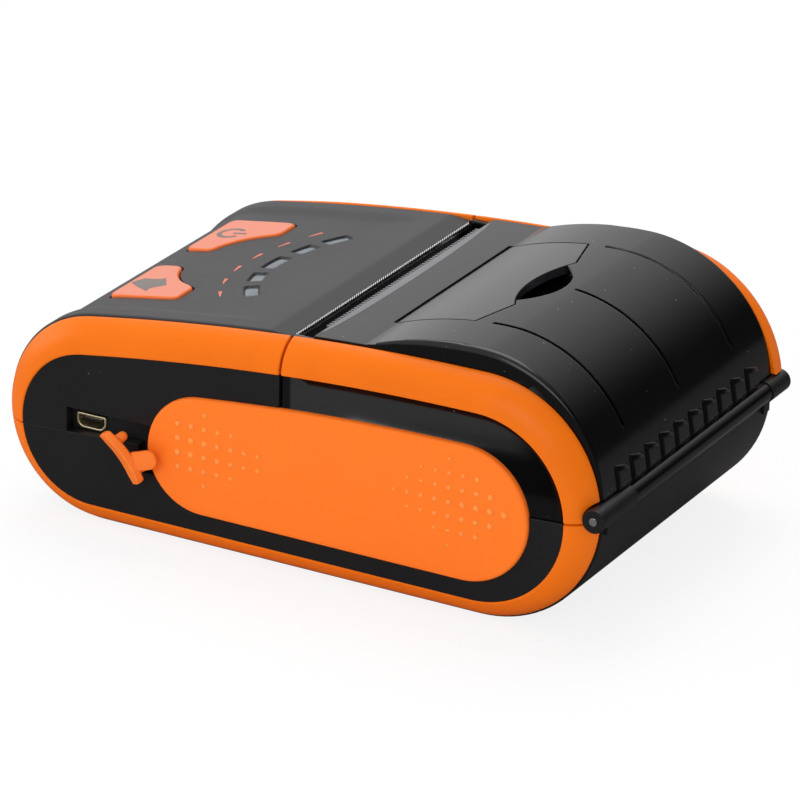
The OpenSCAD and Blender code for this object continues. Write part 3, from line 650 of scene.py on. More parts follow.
def mirrored(made, name):
    """A copy of a piece on the other side of the case."""
    copy = shown(name, made.data.copy())
    copy.data.transform(Matrix.Scale(-1, 4, (1, 0, 0)))
    return settle(copy)


def place(made, body, slot, *nodes):
    """Lets a piece ride on a body and hides the parts it stands for. The slot is not used."""
    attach(made, body)
    if nodes:
        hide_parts(*nodes)


def start_tree(name, labels):
    """A new geometry node group with the named inputs, as its net and its input sockets."""
    tree = bpy.data.node_groups.new(name, "GeometryNodeTree")
    for label, kind in [("Geometry", "Geometry")] + labels:
        tree.interface.new_socket(label, in_out="INPUT", socket_type="NodeSocket" + kind)
    tree.interface.new_socket("Geometry", in_out="OUTPUT", socket_type="NodeSocketGeometry")
    net = Net(tree)
    return net, net.node("NodeGroupInput").outputs


def end_tree(net, copies, finish):
    """Ends a node group by making its copies real and giving them their finish."""
    real = net.node("GeometryNodeRealizeInstances", None, {"Geometry": copies})
    coated = net.node("GeometryNodeSetMaterial", None, {"Geometry": real, "Material": finish})
    net.node("NodeGroupOutput", None, {"Geometry": coated})
    return net.tree


def scatter_tree():
    """Node group that sets copies of a shape on the points of a mesh, scaled and turned by its attributes."""
    name = "Set shapes on points"
    if name in bpy.data.node_groups:
        return bpy.data.node_groups[name]
    net, inputs = start_tree(name, [("Shape", "Object"), ("Finish", "Material")])
    shape = net.node("GeometryNodeObjectInfo", {"transform_space": "ORIGINAL"}, {"Object": inputs["Shape"]})
    size = net.node("GeometryNodeInputNamedAttribute", {"data_type": "FLOAT"}, {"Name": "size"})
    turn = net.node("GeometryNodeInputNamedAttribute", {"data_type": "FLOAT_VECTOR"}, {"Name": "turn"})
    points = net.node("GeometryNodeMeshToPoints", None, {"Mesh": inputs["Geometry"]})
    copies = net.node("GeometryNodeInstanceOnPoints", None,
                      {"Points": points, "Instance": shape.outputs["Geometry"], "Rotation": turn,
                       "Scale": net.combine(size, size, size)})
    return end_tree(net, copies, inputs["Finish"])


def arc_tree():
    """Node group that lays tapering ticks along an arc in the XY plane."""
    floats = ["Radius", "Start", "Sweep", "Length", "Width", "Height"]
    net, inputs = start_tree("Ticks on an arc", [("Count", "Int")] + [(label, "Float") for label in floats]
                             + [("Finish", "Material")])
    count = Field(net, inputs["Count"])
    reach, start, sweep, long, wide, high = (Field(net, inputs[label]) for label in floats)
    points = net.node("GeometryNodePoints", None, {"Count": count})
    angle = net.field("GeometryNodeInputIndex") / (count - 1.0) * sweep + start
    spot = net.combine(reach * angle.wave(), -reach * (angle + math.pi / 2).wave())
    moved = net.node("GeometryNodeSetPosition", None, {"Geometry": points, "Position": spot})
    bar = net.node("GeometryNodeMeshCube", None, {"Size": net.combine(long, wide, high), "Vertices X": 5})
    x, y, z = net.split(net.node("GeometryNodeInputPosition"))
    shaped = net.combine(x, y * (0.65 - x / long * 0.7) + x * x / (reach * 2.0), z)
    tapered = net.node("GeometryNodeSetPosition", None, {"Geometry": bar, "Position": shaped})
    copies = net.node("GeometryNodeInstanceOnPoints", None,
                      {"Points": moved, "Instance": tapered, "Rotation": net.combine(0.0, 0.0, angle)})
    return end_tree(net, copies, inputs["Finish"])


def run_tree(name, mesh, tree, values):
    """An object whose plain mesh is the result of a node group on a starting mesh."""
    made = shown(name, mesh)
    modifier = made.modifiers.new("shape", "NODES")
    modifier.node_group = tree
    for item in tree.interface.items_tree:
        if item.in_out == "INPUT" and item.name in values:
            modifier[item.identifier] = values[item.name]
    apply_all(made)
    return smooth_faces(made)


def scatter(name, template, points, finish, sizes=None, turns=None):
    """Copies of a template, which is then removed, at points, with their sizes and turns about z."""
    count = len(points)
    mesh = bpy.data.meshes.new(name)
    mesh.from_pydata([tuple(point) for point in points], [], [])
    mesh.attributes.new("size", "FLOAT", "POINT").data.foreach_set("value", sizes or [1.0] * count)
    angles = [angle for turn in turns or [0.0] * count for angle in (0.0, 0.0, turn)]
    mesh.attributes.new("turn", "FLOAT_VECTOR", "POINT").data.foreach_set("vector", angles)
    made = run_tree(name, mesh, scatter_tree(), {"Shape": template, "Finish": finish_of(finish)})
    bpy.data.objects.remove(template)
    return made


def rim_curve(case, full):
    """Rounding of a rim, its flat part from the upper edge, and the angle at which its curve starts."""
    round_r = case.sizes.rim_round + (case.sizes.full_round - case.sizes.rim_round) * full
    start = case.rim_side - case.half + round_r
    return round_r, max(0.0, -start), math.asin(max(0.0, start) / round_r)


def rim_point(case, full, q, depth):
    """Point of a rim: q along the rim's curve from its upper edge, and a depth below the surface."""
    round_r, flat, first = rim_curve(case, full)
    bend = round_r * (math.pi / 2 - first)
    if q < flat:
        below, across = depth, case.rim_side + q
    elif q < flat + bend:
        angle = first + (q - flat) / round_r
        below = round_r - (round_r - depth) * math.cos(angle)
        across = case.half - round_r + (round_r - depth) * math.sin(angle)
    else:
        below, across = round_r + q - flat - bend, case.half - depth
    return below - case.sizes.full_proud * full, across


def rim_reach(case, s, full):
    """Length of the rim's curve from its upper edge to the side panel."""
    round_r, flat, first = rim_curve(case, full)
    depth = case.panel_depth(s) + case.sizes.full_proud * full
    if depth <= round_r:
        return flat + round_r * (math.acos((round_r - depth) / round_r) - first)
    return flat + round_r * (math.pi / 2 - first) + depth - round_r


def rim_profile(case, s, shrink, full):
    """Closed profile of a rim, as (below the outline, across), with rounded lips."""
    reach, thick, lip = rim_reach(case, s, full), case.sizes.rim_thickness, 0.4 * MM
    bends = (0.4, 0.8, 1.2, math.pi / 2)
    pairs = [(lip + (reach - 2 * lip) * i / 13, 0.0) for i in range(14)]
    pairs += [(reach - lip + lip * math.sin(a), lip - lip * math.cos(a)) for a in bends]
    pairs += [(reach * (1 - i / 7), thick) for i in range(8)]
    pairs += [(lip - lip * math.sin(a), lip - lip * math.cos(a)) for a in reversed(bends)]

    def inwards(value, middle):
        """A value brought nearer to the middle of the profile."""
        return value + math.copysign(min(shrink, abs(middle - value)), middle - value)
    return [rim_point(case, full, inwards(q, reach / 2), inwards(d, thick / 2)) for q, d in pairs]


def rim(case, name, start, start_plane, end, end_plane, count, fuller=(0.0, 0.0)):
    """One rim strip on the right side, between two planes that cut it, as full at its ends as asked."""
    edge, search = 0.16 * MM, 9 * MM
    rings = []
    for k in range(-1, count + 2):
        share = min(max(k / count, 0.0), 1.0)
        shrink = edge if k in (-1, count + 1) else 0.0
        full = fuller[0] + (fuller[1] - fuller[0]) * smooth(0.35, 0.8, share)
        ring = []
        for below, across in rim_profile(case, start + (end - start) * share, shrink, full):
            first = case.crossing(start - search, start + search, start_plane, below)
            last = case.crossing(end - search, end + search, end_plane, below)
            if k >= 0:
                first += edge
            if k <= count:
                last -= edge
            point = case.outline.at(first + (last - first) * share, below)
            ring.append(Vector((across, point.y, point.z)))
        rings.append(ring)
    return solid(name, rings, "orange_rim", 42)


def knuckle_room():
    """Cylinder that clears the hinge knuckle in the rims."""
    low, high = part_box("hinge_pin")
    pin = (low + high) / 2
    return turned("room", [(-5, 2.55), (10, 2.55)], (33 * MM, pin.y, pin.z), (1, 0, 0), "orange_rim", 56)


class PRINTER_OT_rims(bpy.types.Operator):
    """Models the six orange rim strips, with rounded lips and bevelled ends"""
    bl_idname = "printer.rims"
    bl_label = "Rims"

    def execute(self, context):
        case = Case()
        below, above = case.seam(0.0), case.seam(0.25 * MM)
        split, gap = -2.2 * MM, 0.5 * MM
        front_plane = lambda p: p.y - split
        lid_plane = lambda p: p.y - split - gap
        strips = [
            ("base_rim", "base", (case.crossing_on("front", below), below,
                                  case.crossing_on("rear", below) + case.outline.whole, below, 150), None),
            ("front_rim", "base", (case.crossing_on("top", front_plane), front_plane,
                                   case.crossing_on("front", above), above, 84), (0.25, 0.0)),
            ("lid_rim", "cover", (case.crossing_on("rear", above), above,
                                  case.crossing_on("top", lid_plane), lid_plane, 110), (1.0, 0.25)),
        ]
        right = [rim(case, label + "_right_look", *ends) for label, _, ends, _ in strips]
        for made, (label, body, ends, fuller) in zip(right, strips):
            sources = [made] + ([rim(case, "far_source", *ends, fuller)] if fuller else [])
            if label != "front_rim":
                for source in sources:
                    cut(source, [knuckle_room()], 42)
            twin = mirrored(sources[-1], label + "_left_look")
            if fuller:
                bpy.data.objects.remove(sources[-1])
            place(made, body, "orange_rim", label + "_right")
            place(twin, body, "orange_rim", label + "_left")
        return {"FINISHED"}


def grip_rows(case):
    """Places of the grip dots as (y, z, share of full size). They are smaller away from the grip's ends."""
    pitch = case.sizes.dot_pitch
    groups = (
        (case.outline.rear[0] - 4.5 * MM, case.grip.rear[1] + 1.7 * MM, lambda n: 0.07 * max(0, 3 - n),
         [(-3, 0, 0), (-2, -2, 2), (-1, -3, 3), (0, -4, 4), (1, -3, 3), (2, -1, 2), (3, 0, 0)]),
        (case.grip.front[0] - 4.9 * MM, case.grip.front[1] + 1.6 * MM, lambda n: 0.06 * max(0, n - 1),
         [(-2.5, 2, 2), (-1.5, 0, 4), (-0.5, 0, 6), (0.5, 0, 6), (1.5, 0, 4), (2.5, 2, 2)]))
    for y, z, fade, rows in groups:
        for row, first, last in rows:
            for n in range(first, last + 1):
                yield y + n * pitch, z - row * pitch, 1.0 - 0.1 * abs(row) - fade(n)


class PRINTER_OT_grips(bpy.types.Operator):
    """Models the soft grips with their rounded edge and raised dots"""
    bl_idname = "printer.grips"
    bl_label = "Grips"

    def execute(self, context):
        case = Case()
        edge, widened, count = case.sizes.grip_edge, 0.4 * MM, 260
        face = case.sizes.grip_face - 0.06 * MM
        steps = [(0.0, case.half - 0.9 * MM), (0.0, face - edge * 0.9)]
        steps += [(edge * (1 - math.cos(a)), face - edge * 0.9 * (1 - math.sin(a))) for a in quarter(6)]
        steps += [(edge + 7.5 * MM * i / 4, face + 0.03 * MM * i / 4) for i in range(1, 5)]
        rings = []
        for inset, x in steps:
            ring = [case.grip.at(case.grip.whole * i / count, inset - widened) for i in range(count)]
            rings.append([Vector((x, point.y, point.z)) for point in ring])
        right = solid("grip_body", rings, "orange_grip", 50)
        # The dots take the lighter orange of painted highlight.
        dome = turned("dome", [(-0.3, 0.60), (0.0, 0.66), (0.12, 0.63), (0.24, 0.52), (0.33, 0.32),
                               (0.365, 0.1)], (0, 0, 0), (1, 0, 0), "orange_dot_painted_highlight", 18, 80)
        rows = list(grip_rows(case))
        dots = scatter("grip_dots", dome, [(face + 0.01 * MM, y, z) for y, z, _ in rows], "orange_dot_painted_highlight",
                       [share * case.sizes.dot_radius / (0.66 * MM) for _, _, share in rows])
        right = join("grip_right_look", [right, dots])
        left = mirrored(right, "grip_left_look")
        place(right, "base", "orange_grip", "grip_right")
        place(left, "base", "orange_grip", "grip_left")
        return {"FINISHED"}


def key_place():
    """Slope and middle of the plane in which the two keys lie."""
    outline = Case().outline
    return outline.lean_at(KEY_MIDDLE), Vector((0, KEY_MIDDLE, outline.height(KEY_MIDDLE)))


def key_frame():
    """Frame of the two keys."""
    tilt, origin = key_place()
    return Matrix.Translation(origin) @ Matrix.Rotation(tilt, 4, "X")


def key_distance(x, y):
    """Signed distance to the rounded plan of the right key, whose corner towards the lights is hollow."""
    inner, outer, half_length, lean = 4.7 * MM, 23.3 * MM, 7.35 * MM, math.radians(4)
    hollow_x, hollow_y, hollow_r = 3 * MM, 12.05 * MM, 13.8 * MM
    across = x * math.cos(lean) + y * math.sin(lean)
    return smooth_most([inner - x, x - outer, abs(y) - half_length,
                        abs(across - (inner + outer) / 2) - (outer - inner + 1 * MM) / 2,
                        hollow_r - math.hypot(x - hollow_x, y - hollow_y)], 1.8 * MM)


def light_ring(case, span, inset, depth):
    """Ring of points of a light window, inside its plan and below the case outline by the given lengths."""
    first, last = (math.radians(a) for a in span)
    middle, half = (first + last) / 2, (last - first) / 2
    mid_r = LIGHT_RADIUS - LIGHT_WIDTH / 2

    def distance(x, y):
        reach = math.hypot(x, y)
        return smooth_most([abs(reach - mid_r) - LIGHT_WIDTH / 2,
                            (abs(math.atan2(x, -y) - middle) - half) * reach], 0.5 * MM)
    ring = []
    for x, y in star(distance, (mid_r * math.sin(middle), -mid_r * math.cos(middle)), 56, inset, 12 * MM):
        along = LIGHT_Y + y * math.cos(LIGHT_TILT) - 3.1 * MM * math.sin(LIGHT_TILT)
        ring.append(Vector((x, along, case.outline.height(along, depth))))
    return ring


def cover_depth(case, x, y):
    """Depth of the top cover's surface: a soft dish that ends before a slope down to the slot."""
    dish = case.sizes.dish_depth
    if y > CREASE:
        return (y - CREASE) / (-2.4 * MM - CREASE) * (dish + 0.04 * MM)
    return dish * (1 - smooth(28.3 * MM, 31.6 * MM, abs(x))) * (1 - smooth(-20 * MM, CREASE, y))


class PRINTER_OT_top_cover(bpy.types.Operator):
    """Models the grey top cover with its soft dish, slope to the slot and openings for keys and lights"""
    bl_idname = "printer.top_cover"
    bl_label = "Top cover"

    def execute(self, context):
        case = Case()
        slot_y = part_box("tear_bar")[1].y - 0.45 * MM
        start = case.crossing_on("top", lambda p: p.y - slot_y)
        crease = case.crossing_on("top", lambda p: p.y - CREASE)
        end = case.crossing_on("front", case.seam(0.3 * MM))
        wall, lip, side = 2 * MM, 0.3 * MM, case.side
        places = [start + (crease - start) * i / 6 for i in range(7)]
        places += [crease + (end - crease) * i / 96 for i in range(1, 97)]
        bends = [(lip * (1 - math.cos(a)), lip * (1 - math.sin(a))) for a in (0.5, 1.0)]
        profile = [(-side, wall), (-side, lip)] + [(-side + x, below) for x, below in bends]
        profile += [(-side + lip + 2 * (side - lip) * i / 90, 0.0) for i in range(91)]
        profile += [(side - x, below) for x, below in reversed(bends)] + [(side, lip), (side, wall)]
        profile += [(side - 2 * side * i / 20, wall) for i in range(1, 20)]
        rings = []
        for s in places:
            y = case.outline.at(s).y if s < sum(case.outline.marks[:2]) else -60 * MM
            ring = []
            for x, below in profile:
                point = case.outline.at(s, below + (cover_depth(case, x, y) if below < wall else 0.0))
                ring.append(Vector((x, point.y, point.z)))
            rings.append(ring)
        cover = solid("top_cover_look", rings, "grey_top", 30)
        plan = star(key_distance, KEY_CENTRE, 120, -0.35 * MM, 30 * MM)
        tools = [prism("key_room", [(way * x, y) for x, y in plan], -8 * MM, 6 * MM, key_frame(),
                       "grey_top") for way in (1, -1)]
        tools += [solid("light_room", [light_ring(case, span, -0.02 * MM, depth)
                                       for depth in (6 * MM, -3 * MM)], "grey_top") for span in LIGHTS]
        place(cut(cover, tools, 30), "base", "grey_top", "top_cover")
        return {"FINISHED"}


class PRINTER_OT_lights(bpy.types.Operator):
    """Models the five light windows, each a lens in a dark sunken frame, and the arc of ticks"""
    bl_idname = "printer.lights"
    bl_label = "Light windows"

    def execute(self, context):
        case = Case()
        dish, radius = case.sizes.dish_depth, case.sizes.tick_radius
        parts = []
        for span in LIGHTS:
            for name, steps, finish in (("light_frame", LIGHT_FRAME, "switch_black"),
                                        ("light_lens", LIGHT_LENS, "window_clear")):
                rings = [light_ring(case, span, inset * MM, dish + depth * MM) for inset, depth in steps]
                parts.append(solid(name, rings, finish, 40))
        place(join("light_windows_look", parts), "base", "window_clear", "light_windows")
        ticks = run_tree("ticks", bpy.data.meshes.new("ticks"), arc_tree(),
                         {"Count": 6, "Radius": radius, "Start": math.radians(-30), "Sweep": math.radians(60),
                          "Length": 3.1 * MM, "Width": 0.75 * MM, "Height": 0.3 * MM,
                          "Finish": finish_of("tick_coral")})
        inwards = radius * 0.93
        middle_y = LIGHT_Y - inwards
        height = case.outline.height(middle_y, dish - 0.02 * MM) - 0.15 * MM
        ticks.data.transform(Matrix.Translation((0, middle_y, height))
                             @ Matrix.Rotation(case.outline.lean_at(middle_y), 4, "X")
                             @ Matrix.Translation((0, inwards, 0)))
        place(settle(ticks), "base", "key_coral")
        return {"FINISHED"}


def key_piece(side, name, sign_parts):
    """One key with a rounded upper edge, a pin below it, and its printed sign."""
    edge, upper, where = Case().sizes.key_round, -0.25 * MM, key_frame()
    steps = [(0.0, -3.0 * MM), (0.0, upper - edge)]
    steps += [(edge * (1 - math.cos(a)), upper - edge * (1 - math.sin(a))) for a in quarter(5)]
    cap = solid("key_cap", [[where @ Vector((side * x, y, z)) for x, y in
                             star(key_distance, KEY_CENTRE, 150, inset, 30 * MM)] for inset, z in steps],
                "key_coral", 40)
    pin = turned("key_pin", [(0, 1.2), (0.2, 1.4), (1.15, 1.4)],
                 where @ Vector((side * KEY_CENTRE[0], KEY_CENTRE[1], -4.25 * MM)),
                 where.to_3x3() @ Vector((0, 0, 1)), "key_coral", 24)
    return join(name, [cap, pin] + sign_parts)


def key_sign(name, plan):
    """A printed sign, from its plan in millimetres as seen from above."""
    stretch = math.cos(key_place()[0])
    return prism(name, [(x * MM, (y * MM - KEY_MIDDLE) / stretch) for x, y in plan], -0.4 * MM, -0.235 * MM,
                 key_frame(), "key_mark")


def feed_sign():
    """Bent arrow on the right key."""
    return [key_sign("feed_sign", [(16.1, -47.6), (13.5, -46.3), (13.4, -42.9), (12.7, -42.0), (16.6, -39.6),
                                   (18.7, -41.9), (20.5, -41.7), (18.4, -44.9)])]


def power_sign():
    """Open ring with a bar on the left key."""
    x, y, stretch = -14.9, -43.8, math.cos(key_place()[0])
    angles = [math.radians(38 + (360 - 2 * 38) * i / 40) for i in range(41)]
    ring = [(x + r * math.sin(a), y + r * math.cos(a) * stretch) for r, way in ((2.9, 1), (1.9, -1))
            for a in angles[::way]]
    bar = [(x + a, y + b * stretch) for a, b in ((-0.42, 0.4), (0.42, 0.4), (0.42, 3.3), (-0.42, 3.3))]
    return [key_sign("power_ring", ring), key_sign("power_bar", bar)]


class PRINTER_OT_keys(bpy.types.Operator):
    """Models the two coral keys with their signs"""
    bl_idname = "printer.keys"
    bl_label = "Keys"

    def execute(self, context):
        place(key_piece(1, "feed_button_look", feed_sign()), "feed_key", "key_coral", "feed_button")
        place(key_piece(-1, "power_button_look", power_sign()), "power_key", "key_coral", "power_button")
        return {"FINISHED"}


class PRINTER_OT_tear_edge(bpy.types.Operator):
    """Models the toothed tear bar at the slot and the toothed strip on the paper cover"""
    bl_idname = "printer.tear_edge"
    bl_label = "Tear edge"

    def execute(self, context):
        case = Case()
        low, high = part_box("tear_bar")
        y, top, reach = high.y - 0.45 * MM, high.z - 0.15 * MM, 33.6 * MM
        count = int(2 * reach / (0.4 * MM))
        rings = []
        for i in range(count + 1):
            x, tip = -reach + 2 * reach * i / count, 0.12 if i % 2 else -0.3
            profile = [(0.12, -0.95), (0.42, -0.95), (0.45, -0.35), (0.36, tip), (0.2, tip), (0.05, -0.35),
                       (0.02, -0.65)]
            rings.append([Vector((x, y + a * MM, top + b * MM)) for a, b in profile])
        blade = solid("blade", rings, "bright_steel", 25)
        # Painted shade: the steel bar below the blade gets the dark inner black, for the shadow in the slot.
        bar = block("bar", (low.x, y - 1.05 * MM, top - 3.6 * MM), (high.x, y + 0.3 * MM, top - 0.75 * MM),
                    0.1, "inner_black", 2)
        place(join("tear_bar_look", [blade, bar]), "base", "steel", "tear_bar")
        low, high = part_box("tooth_strip")
        band = self.crescent(case, low, high)
        plan = [(x * MM, y * MM) for x, y in ((-0.26, 1.1), (-0.26, 0.15), (-0.12, 0), (0.12, 0), (0.26, 0.15),
                                              (0.26, 1.1))]
        tooth = prism("tooth", plan, -0.4 * MM, 0.0, Matrix.Rotation(case.outline.lean_at(low.y), 4, "X"),
                      "strip_grey")
        number, margin, top = 58, 2.2 * MM, case.outline.height(low.y) - 0.02 * MM
        step = (high.x - low.x - 2 * margin) / (number - 1)
        teeth = scatter("teeth", tooth, [(low.x + margin + step * i, low.y + 0.5 * MM, top)
                                         for i in range(number)], "strip_grey")
        place(join("tooth_strip_look", [band, teeth]), "cover", "steel", "tooth_strip")
        return {"FINISHED"}

    def crescent(self, case, low, high):
        """Pale strip on the front edge of the cover, widest in its middle."""
        rings = []
        half, front = high.x + 2 * MM, low.y + 1.4 * MM
        for i in range(61):
            x = -half + 2 * half * i / 60
            back = high.y + (0.2 + 1.75 * math.sqrt(max(0.0, 1 - (x / half) ** 2))) * MM
            ring = [(front + (back - front) * k / 8, 0.05 if 0 < k < 8 else 0.02) for k in range(9)]
            rings.append([Vector((x, y, case.outline.height(y) + lift * MM)) for y, lift in
                          ring + [(back, -0.1), (front, -0.1)]])
        return solid("strip", rings, "strip_grey", 40)


def hood_circles(case):
    """Circles, seen from the side, of the hood and of the slope in front of it."""
    mid_y, mid_z, radius = HOOD
    rise = mid_z + radius - case.outline.height(HOOD_CREASE)
    slope_r = ((mid_y - HOOD_CREASE) ** 2 + rise ** 2) / (2 * rise)
    return [HOOD, (mid_y, mid_z + radius - slope_r, slope_r)]


def surface_normals(outline, circles, point):
    """Outward directions of the hood and of the case outline at a point, for those that it lies on."""
    found = []
    for mid_y, mid_z, radius in circles:
        if abs(math.hypot(point.y - mid_y, point.z - mid_z) - radius) < 0.03 * MM:
            found.append(Vector((0, point.y - mid_y, point.z - mid_z)).normalized())
    if abs(outline.distance(point.y, point.z)) < 0.02 * MM:
        step = 0.05 * MM
        slope_y = outline.distance(point.y + step, point.z) - outline.distance(point.y - step, point.z)
        slope_z = outline.distance(point.y, point.z + step) - outline.distance(point.y, point.z - step)
        found.append(Vector((0, slope_y, slope_z)).normalized())
    return found


def even_normals(made, case):
    """Gives the corners that lie on the hood or the case outline the true normals of those surfaces."""
    mesh = made.data
    normals = [Vector(corner.vector) for corner in mesh.corner_normals]
    circles = hood_circles(case)
    true = [surface_normals(case.outline, circles, vertex.co) for vertex in mesh.vertices]
    for face in mesh.polygons:
        for loop in face.loop_indices:
            near = [n for n in true[mesh.loops[loop].vertex_index] if face.normal.dot(n) > 0.8]
            if near:
                normals[loop] = max(near, key=face.normal.dot)
    mesh.normals_split_custom_set(normals)


class PRINTER_OT_hood(bpy.types.Operator):
    """Rounds the long side edges of the hood on a copy of the paper cover"""
    bl_idname = "printer.hood"
    bl_label = "Hood"

    def execute(self, context):
        case, name = Case(), "lid_shell_look"
        work = bmesh.new()
        work.from_mesh(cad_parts["lid_shell"].data)
        bmesh.ops.remove_doubles(work, verts=work.verts, dist=2e-6)
        bmesh.ops.dissolve_limit(work, angle_limit=math.radians(0.2), verts=work.verts, edges=work.edges)
        made = shown(name, plain_mesh(name, work, [finish_of("smoke_cover")]))
        self.weigh_edges(made.data, case)
        bevel = made.modifiers.new("edge", "BEVEL")
        bevel.limit_method = "WEIGHT"
        bevel.width = case.sizes.hood_edge
        bevel.segments = 5
        bevel.use_clamp_overlap = False
        apply_all(made)
        settle(made, 32)
        top = case.outline.height(-1.9 * MM) - 0.4 * MM
        ends = [block("slot_end", (x - 0.6 * MM, -1.9 * MM, 40 * MM), (x + 0.6 * MM, 2.6 * MM, top), 0.15,
                      "smoke_cover", 2) for x in (34.65 * MM, -34.65 * MM)]
        ribs = scatter("ribs", rib_template(), [((i - 4.5) * 6 * MM, 0, 0) for i in range(10)], "smoke_cover")
        made = join(name, [made] + ends + [ribs])
        even_normals(made, case)
        place(made, "cover", "smoke_cover", "lid_shell")
        return {"FINISHED"}

    def weigh_edges(self, mesh, case):
        """Marks the side edges of the hood for rounding, less where they run out into the case outline."""
        mesh.attributes.new("bevel_weight_edge", "FLOAT", "EDGE")
        work = bmesh.new()
        work.from_mesh(mesh)
        layer = work.edges.layers.float["bevel_weight_edge"]
        chosen = 0
        for edge in work.edges:
            ends = [vertex.co for vertex in edge.verts]
            if any(abs(abs(p.x) - case.side) > 0.02 * MM for p in ends) or len(edge.link_faces) != 2:
                continue
            sides = sorted(abs(face.normal.x) for face in edge.link_faces)
            if sides[0] <= 0.2 and sides[1] >= 0.9:
                rise = min(case.outline.distance(p.y, p.z) for p in ends)
                edge[layer] = min(1.0, max(0.0, rise / (3.2 * MM)))
                chosen += edge[layer] > 0
        if not chosen:
            raise RuntimeError("the hood has no side edge to round")
        work.to_mesh(mesh)
        work.free()


def rib_template():
    """Broad raised bar on the hood, with a slanted upper end."""
    mid_y, mid_z, radius = HOOD
    rings = []
    for i in range(13):
        share = i / 12
        lift = 0.5 * MM * min(1.0, 6 * min(share, 1 - share) + 0.3)
        ring = []
        for x, high, rise in ((-2.15, 13.2, -0.3), (-2.15, 13.2, 0.7), (-1.95, 13.3, 1.0), (1.95, 15.4, 1.0),
                              (2.15, 15.5, 0.7), (2.15, 15.5, -0.3)):
            angle = math.radians(4.5 + (high - 4.5) * share)
            reach = radius + (lift * rise if rise > 0 else -0.3 * MM)
            ring.append(Vector((x * MM, mid_y + reach * math.cos(angle), mid_z + reach * math.sin(angle))))
        rings.append(ring)
    return solid("rib", rings, "smoke_cover", 40)


class PRINTER_OT_socket(bpy.types.Operator):
    """Models the USB socket: drawn shell, tongue and contacts"""
    bl_idname = "printer.socket"
    bl_label = "USB socket"

    def execute(self, context):
        low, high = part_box("usb_socket")
        mid_y, mid_z = (low.y + high.y) / 2, (low.z + high.z) / 2 - 0.3 * MM
        half_w, half_h = (high.y - low.y) / 2, (high.z - low.z) / 2

        def distance(y, z):
            """Signed distance to the socket's opening, whose lower corners are cut off."""
            across, up = abs(y - mid_y), z - mid_z
            corner = (across - half_w - up - half_h + 1 * MM) / math.sqrt(2)
            return smooth_most([across - half_w, abs(up) - half_h, corner], 0.35 * MM)

        def inner(name, x, y, z, edge):
            """A dark block inside the shell, between two distances on each axis in millimetres."""
            near, far = ((x[i], mid_y + y[i] * MM, mid_z + z[i] * MM) for i in (0, 1))
            return block(name, near, far, edge, "switch_black")

        lips = [(0.0, high.x - 0.14 * MM), (0.04, high.x - 0.04 * MM), (0.12, high.x), (0.3, high.x),
                (0.38, high.x - 0.04 * MM), (0.42, high.x - 0.14 * MM)]
        shell = solid("socket_shell", [[Vector((x, y, z)) for y, z in
                                        star(distance, (mid_y, mid_z), 96, inset * MM, 9 * MM)]
                                       for inset, x in [(0.0, low.x)] + lips + [(0.42, low.x + 0.6 * MM)]],
                      "brass")
        tongue = inner("tongue", (low.x + 0.7 * MM, high.x - 0.6 * MM), (-2, 2), (0.1, 0.62), 0.12)
        rear = inner("socket_rear", (low.x + 0.5 * MM, low.x + 0.9 * MM), (-2.7, 2.7), (-1.1, 1.1), 0.1)
        finger = block("finger", (0, -0.13 * MM, 0), (3.2 * MM, 0.13 * MM, 0.07 * MM), 0.02, "brass", 1)
        fingers = scatter("contacts", finger, [(high.x - 3.9 * MM, mid_y + (i - 4) * 0.42 * MM,
                                                mid_z + 0.59 * MM) for i in range(9)], "brass")
        place(join("usb_socket_look", [shell, tongue, rear, fingers]), "base", "brass", "usb_socket")
        return {"FINISHED"}


def softened(value, power):
    """A value between -1 and 1 raised to a power, with its sign kept."""
    return math.copysign(abs(value) ** power, value)


